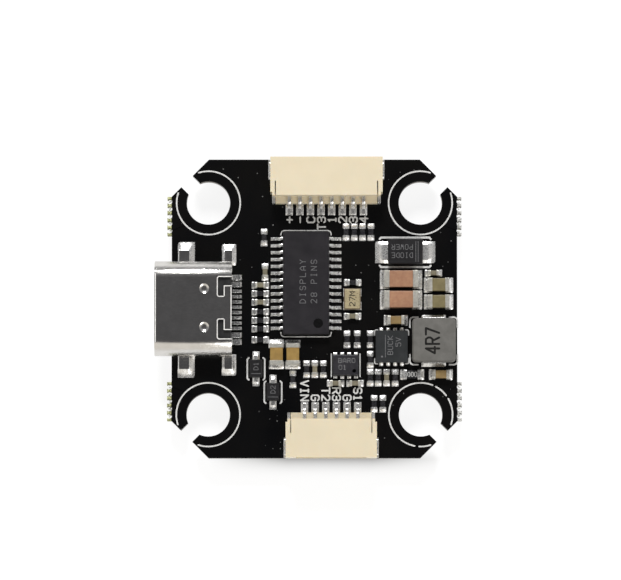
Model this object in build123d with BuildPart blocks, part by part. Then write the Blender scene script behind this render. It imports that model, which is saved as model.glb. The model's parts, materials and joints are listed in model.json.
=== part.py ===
"""Flight controller board for a small drone: a black printed circuit board with open grommet holes at its
corners, a USB-C socket, two side-entry wire sockets, and the chips and passives soldered to both faces.

Frame: millimetres, +Z up out of the upper face, origin at the centre of the mounting-hole pattern on the
underside. The USB-C socket faces -X. The motor-side wire socket faces +Y, the video one faces -Y.
"""

from build123d import *

from collections import namedtuple
import os

os.makedirs("parts", exist_ok=True)

# ---------------------------------------------------------------- board
BOARD_X = 26.9
BOARD_Y = 28.2
BOARD_T = 1.6
CORNER_CUT = 3.5
HOLE_PITCH = 20.0
HOLE_R = 2.05
SLOT_W = 1.5
TAB_Y = 8.75  # centre of each break-off tab's stub, from the board's centre
TAB_HOLE_R = 0.25
TAB_HOLE_PITCH = 0.69
TAB_HOLES = 5
TAB_REACH = 0.42
PAD_T = 0.04
SHEET_GAP = 0.02  # air between moulded and sheet-metal pieces that fit inside each other

CORNERS = [(1, 1), (1, -1), (-1, 1), (-1, -1)]


def on_top(x, y, angle=0):
    """A place on the upper face's pads, turned by angle about +Z."""
    return Location((x, y, BOARD_T + PAD_T), (0, 0, angle))


def on_underside(x, y, angle=0):
    """A place on the underside's pads, with its own +Z pointing down."""
    return Location((x, y, -PAD_T)) * Location((0, 0, 0), (180, 0, 0)) * Location((0, 0, 0), (0, 0, angle))


def on_grid(count, pitch):
    """Evenly spaced offsets about zero."""
    return [(i - (count - 1) / 2) * pitch for i in range(count)]


# ---------------------------------------------------------------- chip passives
# band is the length of each metal end; reach is how far the pads' outer ends lie from the middle.
Package = namedtuple("Package", "length width height band pad_length pad_width reach")
CHIP_0402R = Package(1.0, 0.5, 0.35, 0.20, 0.52, 0.64, 0.82)
CHIP_0402C = Package(1.0, 0.5, 0.50, 0.23, 0.52, 0.64, 0.82)
CHIP_0603R = Package(1.6, 0.8, 0.45, 0.30, 0.62, 1.00, 1.13)
CHIP_0603C = Package(1.6, 0.8, 0.80, 0.30, 0.62, 1.00, 1.13)
CHIP_0805 = Package(2.0, 1.25, 1.10, 0.40, 0.78, 1.42, 1.38)
CHIP_1206 = Package(3.2, 1.6, 1.40, 0.50, 0.95, 1.80, 1.99)
PLATING = 0.03

RESISTOR_PLACES = [
    # beside the wire socket for the motors
    *[on_top(x, 7.22, 90) for x in (2.98, 3.76, 4.54, 5.33)],
    on_top(-4.74, 6.71, 90),
    # between the USB-C socket and the display chip
    *[on_top(-5.10, y) for y in (1.41, -0.30, -1.11, -1.92, -2.95)],
    on_top(3.61, 2.46),
    # round the pressure sensor and the step-down regulator
    *[on_top(x, -2.90, 90) for x in (3.07, 4.04, 5.26)],
    on_top(5.26, -4.82, 90),
    *[on_top(x, -6.52, 90) for x in (5.25, 6.00, 7.60)],
    *[on_top(x, -5.73, 90) for x in (-0.73, 0.84)],
    on_top(-2.03, -6.67, 90),
    *[on_top(x, -8.99, 90) for x in (5.62, 6.43)],
]
CAPACITOR_PLACES = [
    on_top(-4.65, 3.44, 90),
    *[on_top(-5.10, y) for y in (2.21, 0.59)],
    on_top(3.59, -0.73),
    on_top(6.79, -6.52, 90),
    on_top(0.04, -5.73, 90),
    *[on_top(x, -7.05) for x in (1.99, 3.82)],
    on_top(11.22, 3.34),
]
UNDER_RESISTOR_PLACES = [
    *[on_underside(x, 7.6, 90) for x in (-5.2, -4.4, 5.2)],
    *[on_underside(8.0, y) for y in (-2.4, -3.4)],
    on_underside(-8.2, -4.9),
]
UNDER_CAPACITOR_PLACES = [
    *[on_underside(x, 7.9, 90) for x in (-2.6, 2.6)],
    *[on_underside(x, -7.9, 90) for x in (-4.6, 4.6)],
    *[on_underside(8.0, y) for y in (5.6, -0.4)],
    *[on_underside(-8.2, y) for y in (5.8, 1.2)],
]
FILTER_CAPACITOR_PLACES = [on_top(7.67, -1.11), on_top(11.90, -6.22)]
OUTPUT_CAPACITOR_PLACES = [
    on_top(11.70, 2.21),
    on_top(11.70, 0.63),
    on_top(-3.57, -4.33, 90),
    on_top(-2.03, -4.33, 90),
]
BULK_CAPACITOR_PLACES = [on_top(8.16, 2.74), on_top(8.16, 0.82)]
JUMPER_PLACES = [on_top(9.20, -6.22)]
LED_PLACES = [on_underside(8.6, -5.0), on_underside(8.6, -6.5)]


def chip_bodies(package, places):
    """The ceramic blocks of one package, one at each place."""
    with BuildPart() as bodies:
        with Locations(*places):
            with Locations((0, 0, package.height / 2)):
                Box(package.length - 2 * PLATING, package.width - 2 * PLATING, package.height - 2 * PLATING)
    return bodies


def chip_terminals(package, places):
    """The metal caps on both ends of each block, hollow where the block fills them."""
    end = (package.length - package.band) / 2
    with BuildPart() as terminals:
        with Locations(*places):
            with Locations((end, 0, package.height / 2), (-end, 0, package.height / 2)):
                Box(package.band, package.width, package.height)
            with Locations((0, 0, package.height / 2)):
                Box(
                    package.length - 2 * PLATING,
                    package.width - 2 * PLATING,
                    package.height - 2 * PLATING,
                    mode=Mode.SUBTRACT,
                )
    return terminals


def chip_pads(package, places):
    """The tinned pads under one package, for use inside an open BuildPart."""
    middle = package.reach - package.pad_length / 2
    with Locations(*places):
        with Locations((middle, 0, 0), (-middle, 0, 0)):
            pad(package.pad_length, package.pad_width)


def pad(length, width):
    """One flat pad whose top is the place's own plane."""
    Box(length, width, PAD_T, align=(Align.CENTER, Align.CENTER, Align.MAX))


# ---------------------------------------------------------------- leaded chips
DRAFT = 8  # degrees of slope on a moulded body's sides
ROOT = 0.3  # length of each lead inside its moulded body
DIMPLE_DEPTH = 0.05


def moulded_body(length, width, height, standoff=0.0, dimple_r=0.0, dimple_at=(0, 0)):
    """An epoxy body that slopes away above and below its parting line, with a pin-one dimple if asked for."""
    with BuildPart() as body:
        with BuildSketch(Plane.XY.offset(standoff + height / 2)):
            Rectangle(length, width)
        extrude(amount=height / 2, both=True, taper=DRAFT)
        if dimple_r:
            with Locations((*dimple_at, standoff + height)):
                Cylinder(dimple_r, 2 * DIMPLE_DEPTH, mode=Mode.SUBTRACT)
    return body.part


def gull_wing(reach, rise, foot, width, thickness, root=ROOT):
    """One bent lead: it leaves the body's wall at x = 0 and height rise, and its foot ends at x = reach."""
    shoulder = reach - foot - thickness
    with BuildPart() as lead:
        with BuildSketch(Plane.XZ):
            with BuildLine():
                FilletPolyline(
                    (-root, rise),
                    (shoulder, rise),
                    (shoulder + thickness, 0),
                    (reach, 0),
                    radius=thickness,
                )
                offset(amount=thickness, side=Side.LEFT)
            make_face()
        extrude(amount=width / 2, both=True)
    return lead.part


def lead_rows(lead, walls, offsets):
    """Copies of one lead in rows: walls maps each row's direction in degrees to its wall's distance."""
    for angle, wall in walls.items():
        with Locations(Location((0, 0, 0), (0, 0, angle))):
            with Locations(*[(wall, y, 0) for y in offsets]):
                add(lead)


def pad_rows(outer, length, width, offsets, sides=(0, 180)):
    """Pads in rows whose outer ends lie at one distance from the middle."""
    for angle in sides:
        with Locations(Location((0, 0, 0), (0, 0, angle))):
            with Locations(*[(outer - length / 2, y, 0) for y in offsets]):
                pad(length, width)


def block(length, width, height, lift=0.0, mode=Mode.ADD):
    """A box that stands on the place's plane, or above it by lift."""
    with Locations((0, 0, lift)):
        Box(length, width, height, align=(Align.CENTER, Align.CENTER, Align.MIN), mode=mode)


# display chip, 28 leads
OSD_PLACE = on_top(-0.79, 2.36)
OSD_SIZE = (4.4, 9.7, 1.0)
OSD_STANDOFF = 0.1
OSD_PITCH = 0.65
OSD_WAYS = 14
OSD_SPAN = 6.4

# processor, 64 leads, on the underside
MCU_PLACE = on_underside(0, 0)
MCU_SIZE = (10.0, 10.0, 1.4)
MCU_STANDOFF = 0.1
MCU_PITCH = 0.5
MCU_WAYS = 16
MCU_SPAN = 12.0

# 3.3 V regulator, 5 leads, on the underside
LDO_PLACE = on_underside(-9.8, -2.0)
LDO_SIZE = (1.6, 2.9, 1.1)
LDO_PITCH = 0.95
LDO_SPAN = 2.8

# flat-lead diodes: body, lead width, thickness and reach from the middle
SCHOTTKY_PLACE = on_top(8.56, 5.32)
SCHOTTKY_SIZE = (3.3, 2.4, 1.1)
SCHOTTKY_LEAD = (1.5, 0.2, 2.2)
TVS_PLACES = [on_top(-5.50, -5.68, 90), on_top(-3.90, -7.88, 90)]
TVS_SIZE = (1.7, 1.2, 0.9)
TVS_LEAD = (0.35, 0.12, 1.25)

# leadless chips
BUCK_PLACE = on_top(7.27, -3.61, 90)
BUCK_SIZE = (3.0, 3.0, 0.9)
GYRO_PLACE = on_underside(-10.0, 3.6)
GYRO_SIZE = (2.5, 3.0, 0.9)
FLASH_PLACE = on_underside(9.2, 2.6)
FLASH_SIZE = (4.0, 3.0, 0.6)
BAROMETER_PLACE = on_top(2.94, -5.37)
BAROMETER_BASE = (2.5, 2.0, 0.25)
BAROMETER_LID = (2.36, 1.86, 0.65)
BAROMETER_WALL = 0.1
VENT_R = 0.18
VENT_AT = (0.80, -0.55)

# crystals: width, length and height of the ceramic tray and its metal lid
OSCILLATOR_PLACE = on_top(3.57, 0.89)
OSCILLATOR_BASE = (1.6, 2.0, 0.35)
OSCILLATOR_LID = (1.4, 1.8, 0.12)
CRYSTAL_PLACE = on_underside(0, 9.0)
CRYSTAL_BASE = (3.2, 2.5, 0.5)
CRYSTAL_LID = (2.9, 2.2, 0.15)

# power inductor
INDUCTOR_PLACE = on_top(11.23, -3.05, 90)
INDUCTOR_SIDE = 4.08
INDUCTOR_H = 2.0
INDUCTOR_CLIP_W = 2.1
INDUCTOR_CLIP_T = 0.12
INDUCTOR_CLIP_H = 1.0
INDUCTOR_CLIP_FOOT = 1.1
COIL_R = 1.45
COIL_BORE_R = 0.75
COIL_H = 1.0
COIL_LIFT = 0.5

# ---------------------------------------------------------------- USB-C socket
USB_Y = -0.12
USB_MOUTH = -15.0
USB_REAR = -7.75
USB_W = 8.94
USB_H = 3.16
USB_WALL = 0.3
USB_LIFT = 0.01  # shell's underside above the pads
USB_FLOOR = BOARD_T + PAD_T
USB_MID_Z = USB_FLOOR + USB_LIFT + USB_H / 2
TONGUE_W = 6.69
TONGUE_T = 0.7
TONGUE_TIP = USB_MOUTH + 0.75
BLOCK_FRONT = -10.0
BLOCK_REAR = USB_REAR - 0.1
CONTACT_T = 0.15
CONTACT_TIP = TONGUE_TIP + 0.5
RISER_X = BLOCK_REAR - 0.35
TAIL_END = -6.95
MID_PLATE_T = 0.12
MID_PLATE_W = 6.2
USB_FEET = [(-12.27, 0.96), (-8.10, 0.68)]  # middle and length of each foot along the shell
USB_FOOT_TIP = 5.6
USB_FOOT_PADS = [(-12.07, 1.6, 6.4), (-8.05, 1.36, 6.2)]  # middle, length and reach of each foot's pad
UPPER_CONTACTS = [-1.25, -0.25, 0.25, 1.25]
LOWER_CONTACTS = [-1.75, -0.75, 0.75, 1.75]
POWER_CONTACTS = [-3.05, -2.4, 2.4, 3.05]
SIGNAL_W = 0.25
POWER_W = 0.45
NOTCH_FRONT = -9.1
NOTCH_INNER = 1.06
NOTCH_OUTER = 2.93
TAB_FRONT = -8.45
TAB_OUTER = 2.05
TAIL_GAP_FRONT = -8.7  # the shell's underside stops here between the rear feet, to let the tails out
TAIL_GAP_HALF = 3.6
DENT_X = -10.33
DENT_Y = 1.8
DENT_R = 1.1
DENT_DEPTH = 0.1

# ---------------------------------------------------------------- wire sockets
SOCKET_PITCH = 1.0
SOCKET_H = 2.95
SOCKET_DEPTH = 4.25
SOCKET_LEDGE = 0.64  # how far the low rear ledge stands out behind the main block
SOCKET_LEDGE_H = 1.2
SOCKET_MARGIN = 1.77  # from the outer contacts' centres to the housing's sides
SOCKET_WALL = 0.95
SOCKET_FLOOR_T = 0.45
SOCKET_ROOF_T = 0.5
SOCKET_BACK = 0.75
SLIT_INSET = 0.47
SLIT_W = 0.1
SLIT_END = 1.98
SLIT_DEPTH = 1.1
SHOULDER_CUT = 0.17
SHOULDER_END = 0.94
PIN_W = 0.32
PIN_T = 0.2
PIN_RISE = 1.25
PIN_TIP = 3.3
PIN_REACH = 0.95
PIN_FOOT = 0.75
ANCHOR_T = 0.25
ANCHOR_H = 1.3
ANCHOR_START = 0.0
ANCHOR_FOOT_START = 2.44
ANCHOR_FOOT_W = 0.2
ANCHOR_END = 4.2
ESC_WAYS = 8
ESC_PLACE = on_top(1.13, 9.86)
VTX_WAYS = 6
VTX_PLACE = on_top(1.57, -9.86, 180)

# ---------------------------------------------------------------- press switch
SWITCH_PLACE = on_underside(0, -10.2)
SWITCH_X = 3.9
SWITCH_Y = 3.0
SWITCH_BASE_H = 0.7
SWITCH_FLOOR = 0.15
WELL_R = 1.15
COVER_T = 0.12
COVER_SKIRT = 0.4
COVER_HOLE_R = 0.8
STEM_R = 0.65
STEM_TOP = 1.25
FLANGE_R = 0.95
FLANGE_Z = 0.44
FLANGE_T = 0.18
DOME_R = 1.0
DOME_RISE = 0.27
DOME_T = 0.05

WIRE_PAD_ROWS = [(-12.4, y) for y in on_grid(5, 2.1)] + [(12.4, y) for y in on_grid(6, 1.9)]
WIRE_PAD_SIZE = (1.5, 1.3)

# ================================================================ circuit board
with BuildPart() as circuit_board:
    with BuildSketch():
        Rectangle(BOARD_X, BOARD_Y)
        chamfer(vertices(), length=CORNER_CUT)
        tab_length = (TAB_HOLES + 1) * TAB_HOLE_PITCH - 2 * TAB_HOLE_R
        tab_hole_x = BOARD_X / 2 + TAB_HOLE_R - 0.03
        for side, end in CORNERS:
            with Locations((side * BOARD_X / 2, end * TAB_Y)):
                Rectangle(2 * TAB_REACH, tab_length)
        for side, end in CORNERS:
            with Locations((side * tab_hole_x, end * TAB_Y)):
                with Locations(*[(0, y) for y in on_grid(TAB_HOLES, TAB_HOLE_PITCH)]):
                    Circle(TAB_HOLE_R, mode=Mode.SUBTRACT)
        with GridLocations(HOLE_PITCH, HOLE_PITCH, 2, 2):
            Circle(HOLE_R, mode=Mode.SUBTRACT)
        slot_length = 2 * HOLE_R
        for side, end in CORNERS:
            out = Location((side * HOLE_PITCH / 2, end * HOLE_PITCH / 2), 45 * side * end)
            with Locations(out):
                with Locations((side * (HOLE_R / 2 + slot_length / 2), 0)):
                    Rectangle(slot_length, SLOT_W, mode=Mode.SUBTRACT)
    extrude(amount=BOARD_T)

# ================================================================ leads and bodies of the leaded chips
osd_lead = gull_wing((OSD_SPAN - OSD_SIZE[0]) / 2, 0.54, 0.55, 0.22, 0.12)
osd_shape = moulded_body(*OSD_SIZE, OSD_STANDOFF, 0.45, (1.14, -3.81))
with BuildPart() as osd_chip_leads:
    with Locations(OSD_PLACE):
        lead_rows(osd_lead, {0: OSD_SIZE[0] / 2, 180: OSD_SIZE[0] / 2}, on_grid(OSD_WAYS, OSD_PITCH))
with BuildPart() as osd_chip_body:
    with Locations(OSD_PLACE):
        add(osd_shape)
    add(osd_chip_leads.part, mode=Mode.SUBTRACT)

mcu_lead = gull_wing((MCU_SPAN - MCU_SIZE[0]) / 2, 0.74, 0.55, 0.22, 0.12)
mcu_shape = moulded_body(*MCU_SIZE, MCU_STANDOFF, 0.5, (-4.0, -4.0))
mcu_walls = {angle: MCU_SIZE[0] / 2 for angle in (0, 90, 180, 270)}
with BuildPart() as processor_leads:
    with Locations(MCU_PLACE):
        lead_rows(mcu_lead, mcu_walls, on_grid(MCU_WAYS, MCU_PITCH))
with BuildPart() as processor_body:
    with Locations(MCU_PLACE):
        add(mcu_shape)
    add(processor_leads.part, mode=Mode.SUBTRACT)

ldo_lead = gull_wing((LDO_SPAN - LDO_SIZE[0]) / 2, 0.55, 0.3, 0.4, 0.14)
ldo_shape = moulded_body(*LDO_SIZE, OSD_STANDOFF)
with BuildPart() as regulator_3v3_leads:
    with Locations(LDO_PLACE):
        lead_rows(ldo_lead, {0: LDO_SIZE[0] / 2}, on_grid(3, LDO_PITCH))
        lead_rows(ldo_lead, {180: LDO_SIZE[0] / 2}, on_grid(2, 2 * LDO_PITCH))
with BuildPart() as regulator_3v3_body:
    with Locations(LDO_PLACE):
        add(ldo_shape)
    add(regulator_3v3_leads.part, mode=Mode.SUBTRACT)


def flat_leads(size, lead, places):
    """The two flat leads of each diode, which run out from under its body."""
    width, thickness, reach = lead
    length = reach - size[0] / 2 + ROOT
    with BuildPart() as leads:
        with Locations(*places):
            with Locations((reach - length / 2, 0), (length / 2 - reach, 0)):
                block(length, width, thickness)
    return leads


schottky_shape = moulded_body(*SCHOTTKY_SIZE)
schottky_diode_leads = flat_leads(SCHOTTKY_SIZE, SCHOTTKY_LEAD, [SCHOTTKY_PLACE])
with BuildPart() as schottky_diode_body:
    with Locations(SCHOTTKY_PLACE):
        add(schottky_shape)
    add(schottky_diode_leads.part, mode=Mode.SUBTRACT)

tvs_shape = moulded_body(*TVS_SIZE)
tvs_diode_leads = flat_leads(TVS_SIZE, TVS_LEAD, TVS_PLACES)
with BuildPart() as tvs_diode_bodies:
    with Locations(*TVS_PLACES):
        add(tvs_shape)
    add(tvs_diode_leads.part, mode=Mode.SUBTRACT)


# ================================================================ leadless chips
def edge_leads(size, place, ways, pitch, thermal=None, thickness=0.2, length=0.45, width=0.32):
    """Flush lead ends along both long walls, and the pad under the middle if the chip has one."""
    with BuildPart() as leads:
        with Locations(place):
            for side in (1, -1):
                with Locations(*[(side * (size[0] - length) / 2, y) for y in on_grid(ways, pitch)]):
                    block(length, width, thickness)
            if thermal:
                block(*thermal, thickness)
    return leads


def leadless_body(size, place, leads):
    """A sawn square epoxy body with its leads cut out of its bottom edge."""
    with BuildPart() as body:
        with Locations(place):
            block(*size)
        add(leads.part, mode=Mode.SUBTRACT)
    return body


buck_regulator_leads = edge_leads(BUCK_SIZE, BUCK_PLACE, 4, 0.65, thermal=(1.5, 2.3))
buck_regulator_body = leadless_body(BUCK_SIZE, BUCK_PLACE, buck_regulator_leads)
gyro_sensor_pads = edge_leads(GYRO_SIZE, GYRO_PLACE, 4, 0.65, thickness=0.1)
gyro_sensor_body = leadless_body(GYRO_SIZE, GYRO_PLACE, gyro_sensor_pads)
flash_memory_pads = edge_leads(FLASH_SIZE, FLASH_PLACE, 4, 0.5, thermal=(0.2, 1.6), width=0.25)
flash_memory_body = leadless_body(FLASH_SIZE, FLASH_PLACE, flash_memory_pads)

with BuildPart() as barometer_base:
    with Locations(BAROMETER_PLACE):
        block(*BAROMETER_BASE)
with BuildPart() as barometer_lid:
    with Locations(BAROMETER_PLACE):
        block(*BAROMETER_LID, lift=BAROMETER_BASE[2])
        block(
            BAROMETER_LID[0] - 2 * BAROMETER_WALL,
            BAROMETER_LID[1] - 2 * BAROMETER_WALL,
            BAROMETER_LID[2] - BAROMETER_WALL,
            lift=BAROMETER_BASE[2],
            mode=Mode.SUBTRACT,
        )
        with Locations((*VENT_AT, BAROMETER_BASE[2] + BAROMETER_LID[2])):
            Cylinder(VENT_R, 4 * BAROMETER_WALL, mode=Mode.SUBTRACT)


def crystal(base, lid, place):
    """A ceramic tray and the metal lid welded on it."""
    with BuildPart() as tray:
        with Locations(place):
            block(*base)
    with BuildPart() as cap:
        with Locations(place):
            block(*lid, lift=base[2])
    return tray, cap


oscillator_base, oscillator_lid = crystal(OSCILLATOR_BASE, OSCILLATOR_LID, OSCILLATOR_PLACE)
processor_crystal_base, processor_crystal_lid = crystal(CRYSTAL_BASE, CRYSTAL_LID, CRYSTAL_PLACE)

# ================================================================ power inductor
clip_x = (INDUCTOR_SIDE + INDUCTOR_CLIP_T) / 2
with BuildPart() as inductor_terminals:
    with Locations(INDUCTOR_PLACE):
        for side in (1, -1):
            with Locations((side * clip_x, 0)):
                block(INDUCTOR_CLIP_T, INDUCTOR_CLIP_W, INDUCTOR_CLIP_H)
            with Locations((side * (clip_x - INDUCTOR_CLIP_FOOT / 2), 0)):
                block(INDUCTOR_CLIP_FOOT, INDUCTOR_CLIP_W, INDUCTOR_CLIP_T)
with BuildPart() as inductor_coil:
    with Locations(INDUCTOR_PLACE):
        with Locations((0, 0, COIL_LIFT + COIL_H / 2)):
            Cylinder(COIL_R, COIL_H)
            Cylinder(COIL_BORE_R, COIL_H, mode=Mode.SUBTRACT)
        for side in (1, -1):
            with Locations((side * (COIL_R + INDUCTOR_SIDE / 2) / 2, side * 0.4)):
                block(INDUCTOR_SIDE / 2 - COIL_R + 0.2, 0.3, 0.2, lift=COIL_LIFT + 0.1)
    add(inductor_terminals.part, mode=Mode.SUBTRACT)
with BuildPart() as inductor_core:
    with Locations(INDUCTOR_PLACE):
        block(INDUCTOR_SIDE, INDUCTOR_SIDE, INDUCTOR_H)
    fillet(inductor_core.edges().filter_by(Axis.Z), radius=0.35)
    chamfer(inductor_core.faces().sort_by(Axis.Z)[-1].edges(), length=0.12)
    add(inductor_terminals.part, mode=Mode.SUBTRACT)
    add(inductor_coil.part, mode=Mode.SUBTRACT)

# ================================================================ chip passives
resistor_0402_bodies = chip_bodies(CHIP_0402R, RESISTOR_PLACES + UNDER_RESISTOR_PLACES)
resistor_0402_terminals = chip_terminals(CHIP_0402R, RESISTOR_PLACES + UNDER_RESISTOR_PLACES)
capacitor_0402_bodies = chip_bodies(CHIP_0402C, CAPACITOR_PLACES + UNDER_CAPACITOR_PLACES)
capacitor_0402_terminals = chip_terminals(CHIP_0402C, CAPACITOR_PLACES + UNDER_CAPACITOR_PLACES)
filter_capacitor_bodies = chip_bodies(CHIP_0603C, FILTER_CAPACITOR_PLACES)
filter_capacitor_terminals = chip_terminals(CHIP_0603C, FILTER_CAPACITOR_PLACES)
output_capacitor_bodies = chip_bodies(CHIP_0805, OUTPUT_CAPACITOR_PLACES)
output_capacitor_terminals = chip_terminals(CHIP_0805, OUTPUT_CAPACITOR_PLACES)
bulk_capacitor_bodies = chip_bodies(CHIP_1206, BULK_CAPACITOR_PLACES)
bulk_capacitor_terminals = chip_terminals(CHIP_1206, BULK_CAPACITOR_PLACES)
jumper_resistor_body = chip_bodies(CHIP_0603R, JUMPER_PLACES)
jumper_resistor_terminals = chip_terminals(CHIP_0603R, JUMPER_PLACES)
status_led_bodies = chip_bodies(CHIP_0603R, LED_PLACES)
status_led_terminals = chip_terminals(CHIP_0603R, LED_PLACES)

# ================================================================ USB-C socket
with BuildPart() as usb_shell:
    with BuildSketch(Plane.YZ.offset(USB_MOUTH)):
        with Locations((USB_Y, USB_MID_Z)):
            SlotOverall(USB_W, USB_H)
            SlotOverall(USB_W - 2 * USB_WALL, USB_H - 2 * USB_WALL, mode=Mode.SUBTRACT)
    extrude(amount=USB_REAR - USB_MOUTH)
    for foot_x, foot_length in USB_FEET:
        with BuildSketch(Plane.YZ.offset(foot_x - foot_length / 2)):
            for side in (1, -1):
                strap_y = USB_Y + side * (USB_W - USB_WALL) / 2
                flat_y = USB_Y + side * (USB_FOOT_TIP + USB_W / 2 - USB_WALL) / 2
                with Locations((strap_y, (USB_MID_Z + USB_FLOOR) / 2)):
                    Rectangle(USB_WALL, USB_MID_Z - USB_FLOOR)
                with Locations((flat_y, USB_FLOOR + USB_WALL / 2)):
                    Rectangle(USB_FOOT_TIP - USB_W / 2 + USB_WALL, USB_WALL)
        extrude(amount=foot_length)
    for side in (1, -1):
        slot_y = USB_Y + side * (NOTCH_INNER + NOTCH_OUTER) / 2
        with Locations(((NOTCH_FRONT + TAB_FRONT) / 2, slot_y, USB_MID_Z + USB_H / 2)):
            Box(TAB_FRONT - NOTCH_FRONT, NOTCH_OUTER - NOTCH_INNER, 3 * USB_WALL, mode=Mode.SUBTRACT)
        slot_y = USB_Y + side * (TAB_OUTER + NOTCH_OUTER) / 2
        with Locations(((TAB_FRONT + USB_REAR) / 2, slot_y, USB_MID_Z + USB_H / 2)):
            Box(USB_REAR - TAB_FRONT, NOTCH_OUTER - TAB_OUTER, 3 * USB_WALL, mode=Mode.SUBTRACT)
        with Locations((DENT_X, USB_Y + side * DENT_Y, USB_MID_Z + USB_H / 2 + DENT_R - DENT_DEPTH)):
            Sphere(DENT_R, mode=Mode.SUBTRACT)
    with Locations(((TAIL_GAP_FRONT + USB_REAR) / 2, USB_Y, USB_FLOOR)):
        Box(USB_REAR - TAIL_GAP_FRONT, 2 * TAIL_GAP_HALF, 4 * USB_WALL, mode=Mode.SUBTRACT)


def contact_strip(height):
    """The side view of a straight contact whose blade lies at one height, as rectangles in one sketch."""
    with Locations(((CONTACT_TIP + RISER_X) / 2, height)):
        Rectangle(RISER_X - CONTACT_TIP + CONTACT_T, CONTACT_T)
    with Locations((RISER_X, USB_FLOOR)):
        Rectangle(CONTACT_T, height - USB_FLOOR + CONTACT_T / 2, align=(Align.CENTER, Align.MIN))
    with Locations(((RISER_X + TAIL_END) / 2, USB_FLOOR + CONTACT_T / 2)):
        Rectangle(TAIL_END - RISER_X, CONTACT_T)


upper_blade_z = USB_MID_Z + (TONGUE_T - CONTACT_T) / 2
lower_blade_z = USB_MID_Z - (TONGUE_T - CONTACT_T) / 2
with BuildPart() as usb_contacts:
    for places, width, heights in (
        (UPPER_CONTACTS, SIGNAL_W, [upper_blade_z]),
        (LOWER_CONTACTS, SIGNAL_W, [lower_blade_z]),
        (POWER_CONTACTS, POWER_W, [upper_blade_z, lower_blade_z]),
    ):
        for y in places:
            with BuildSketch(Plane.XZ.offset(-USB_Y - y)):
                for height in heights:
                    contact_strip(height)
            extrude(amount=width / 2, both=True)

with BuildPart() as usb_mid_plate:
    with Locations(((TONGUE_TIP + BLOCK_FRONT) / 2, USB_Y, USB_MID_Z)):
        Box(BLOCK_FRONT - TONGUE_TIP - 0.2, MID_PLATE_W, MID_PLATE_T)

with BuildPart() as usb_insulator:
    with BuildSketch(Plane.YZ.offset(BLOCK_FRONT)):
        with Locations((USB_Y, USB_MID_Z)):
            SlotOverall(USB_W - 2 * USB_WALL - SHEET_GAP, USB_H - 2 * USB_WALL - SHEET_GAP)
    extrude(amount=BLOCK_REAR - BLOCK_FRONT)
    with BuildSketch(Plane.YZ.offset(TONGUE_TIP)):
        with Locations((USB_Y, USB_MID_Z)):
            RectangleRounded(TONGUE_W, TONGUE_T, 0.15)
    extrude(amount=BLOCK_FRONT - TONGUE_TIP)
    add(usb_contacts.part, mode=Mode.SUBTRACT)
    add(usb_mid_plate.part, mode=Mode.SUBTRACT)

# ================================================================ wire sockets
def socket_contacts(ways):
    """One row of pins at the socket's own origin: blades in the mouth, feet behind the ledge."""
    foot = gull_wing(SOCKET_LEDGE + PIN_REACH, PIN_RISE, PIN_FOOT, PIN_W, PIN_T, root=PIN_TIP - SOCKET_LEDGE)
    with BuildPart() as pins:
        with Locations(*[Location((x, SOCKET_LEDGE, 0), (0, 0, -90)) for x in on_grid(ways, SOCKET_PITCH)]):
            add(foot)
    return pins.part


def socket_anchors(half_width):
    """The two side anchors: an upright plate in the housing's flank, and a foot soldered to the board."""
    with BuildPart() as anchors:
        for side in (1, -1):
            plate_x = side * (half_width - SHOULDER_CUT - ANCHOR_T / 2)
            with Locations((plate_x, (ANCHOR_START + ANCHOR_END) / 2)):
                block(ANCHOR_T, ANCHOR_END - ANCHOR_START, ANCHOR_H)
            foot_x = side * (half_width + (ANCHOR_FOOT_W - SHOULDER_CUT) / 2)
            with Locations((foot_x, (ANCHOR_FOOT_START + ANCHOR_END) / 2)):
                block(ANCHOR_FOOT_W + SHOULDER_CUT, ANCHOR_END - ANCHOR_FOOT_START, ANCHOR_T)
    return anchors.part


def socket_housing(half_width, pins, anchors):
    """The moulded housing: a main block open to the front, a low rear ledge, slits and cut shoulders."""
    block_depth = SOCKET_DEPTH - SOCKET_LEDGE
    with BuildPart() as housing:
        with Locations((0, SOCKET_LEDGE + block_depth / 2)):
            block(2 * half_width, block_depth, SOCKET_H)
        with Locations((0, SOCKET_LEDGE / 2)):
            block(2 * (half_width - SLIT_INSET), SOCKET_LEDGE, SOCKET_LEDGE_H)
        mouth_depth = block_depth - SOCKET_BACK
        with Locations((0, SOCKET_DEPTH - mouth_depth / 2)):
            block(
                2 * (half_width - SOCKET_WALL),
                mouth_depth,
                SOCKET_H - SOCKET_FLOOR_T - SOCKET_ROOF_T,
                lift=SOCKET_FLOOR_T,
                mode=Mode.SUBTRACT,
            )
        for side in (1, -1):
            with Locations((side * (half_width - SLIT_INSET), SLIT_END / 2)):
                block(SLIT_W, SLIT_END, SLIT_DEPTH, lift=SOCKET_H - SLIT_DEPTH, mode=Mode.SUBTRACT)
            with Locations((side * half_width, SHOULDER_END / 2)):
                block(2 * SHOULDER_CUT, SHOULDER_END, SOCKET_H, mode=Mode.SUBTRACT)
        add(pins, mode=Mode.SUBTRACT)
        add(anchors, mode=Mode.SUBTRACT)
    return housing.part


def placed(shape, place):
    """One finished shape moved to its place on the board."""
    with BuildPart() as piece:
        with Locations(place):
            add(shape)
    return piece


socket_parts = {}
for name, ways, place in (("esc_socket", ESC_WAYS, ESC_PLACE), ("vtx_socket", VTX_WAYS, VTX_PLACE)):
    half_width = (ways - 1) * SOCKET_PITCH / 2 + SOCKET_MARGIN
    pins = socket_contacts(ways)
    anchors = socket_anchors(half_width)
    housing = socket_housing(half_width, pins, anchors)
    socket_parts[name + "_contacts"] = placed(pins, place)
    socket_parts[name + "_anchors"] = placed(anchors, place)
    socket_parts[name + "_housing"] = placed(housing, place)

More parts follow.
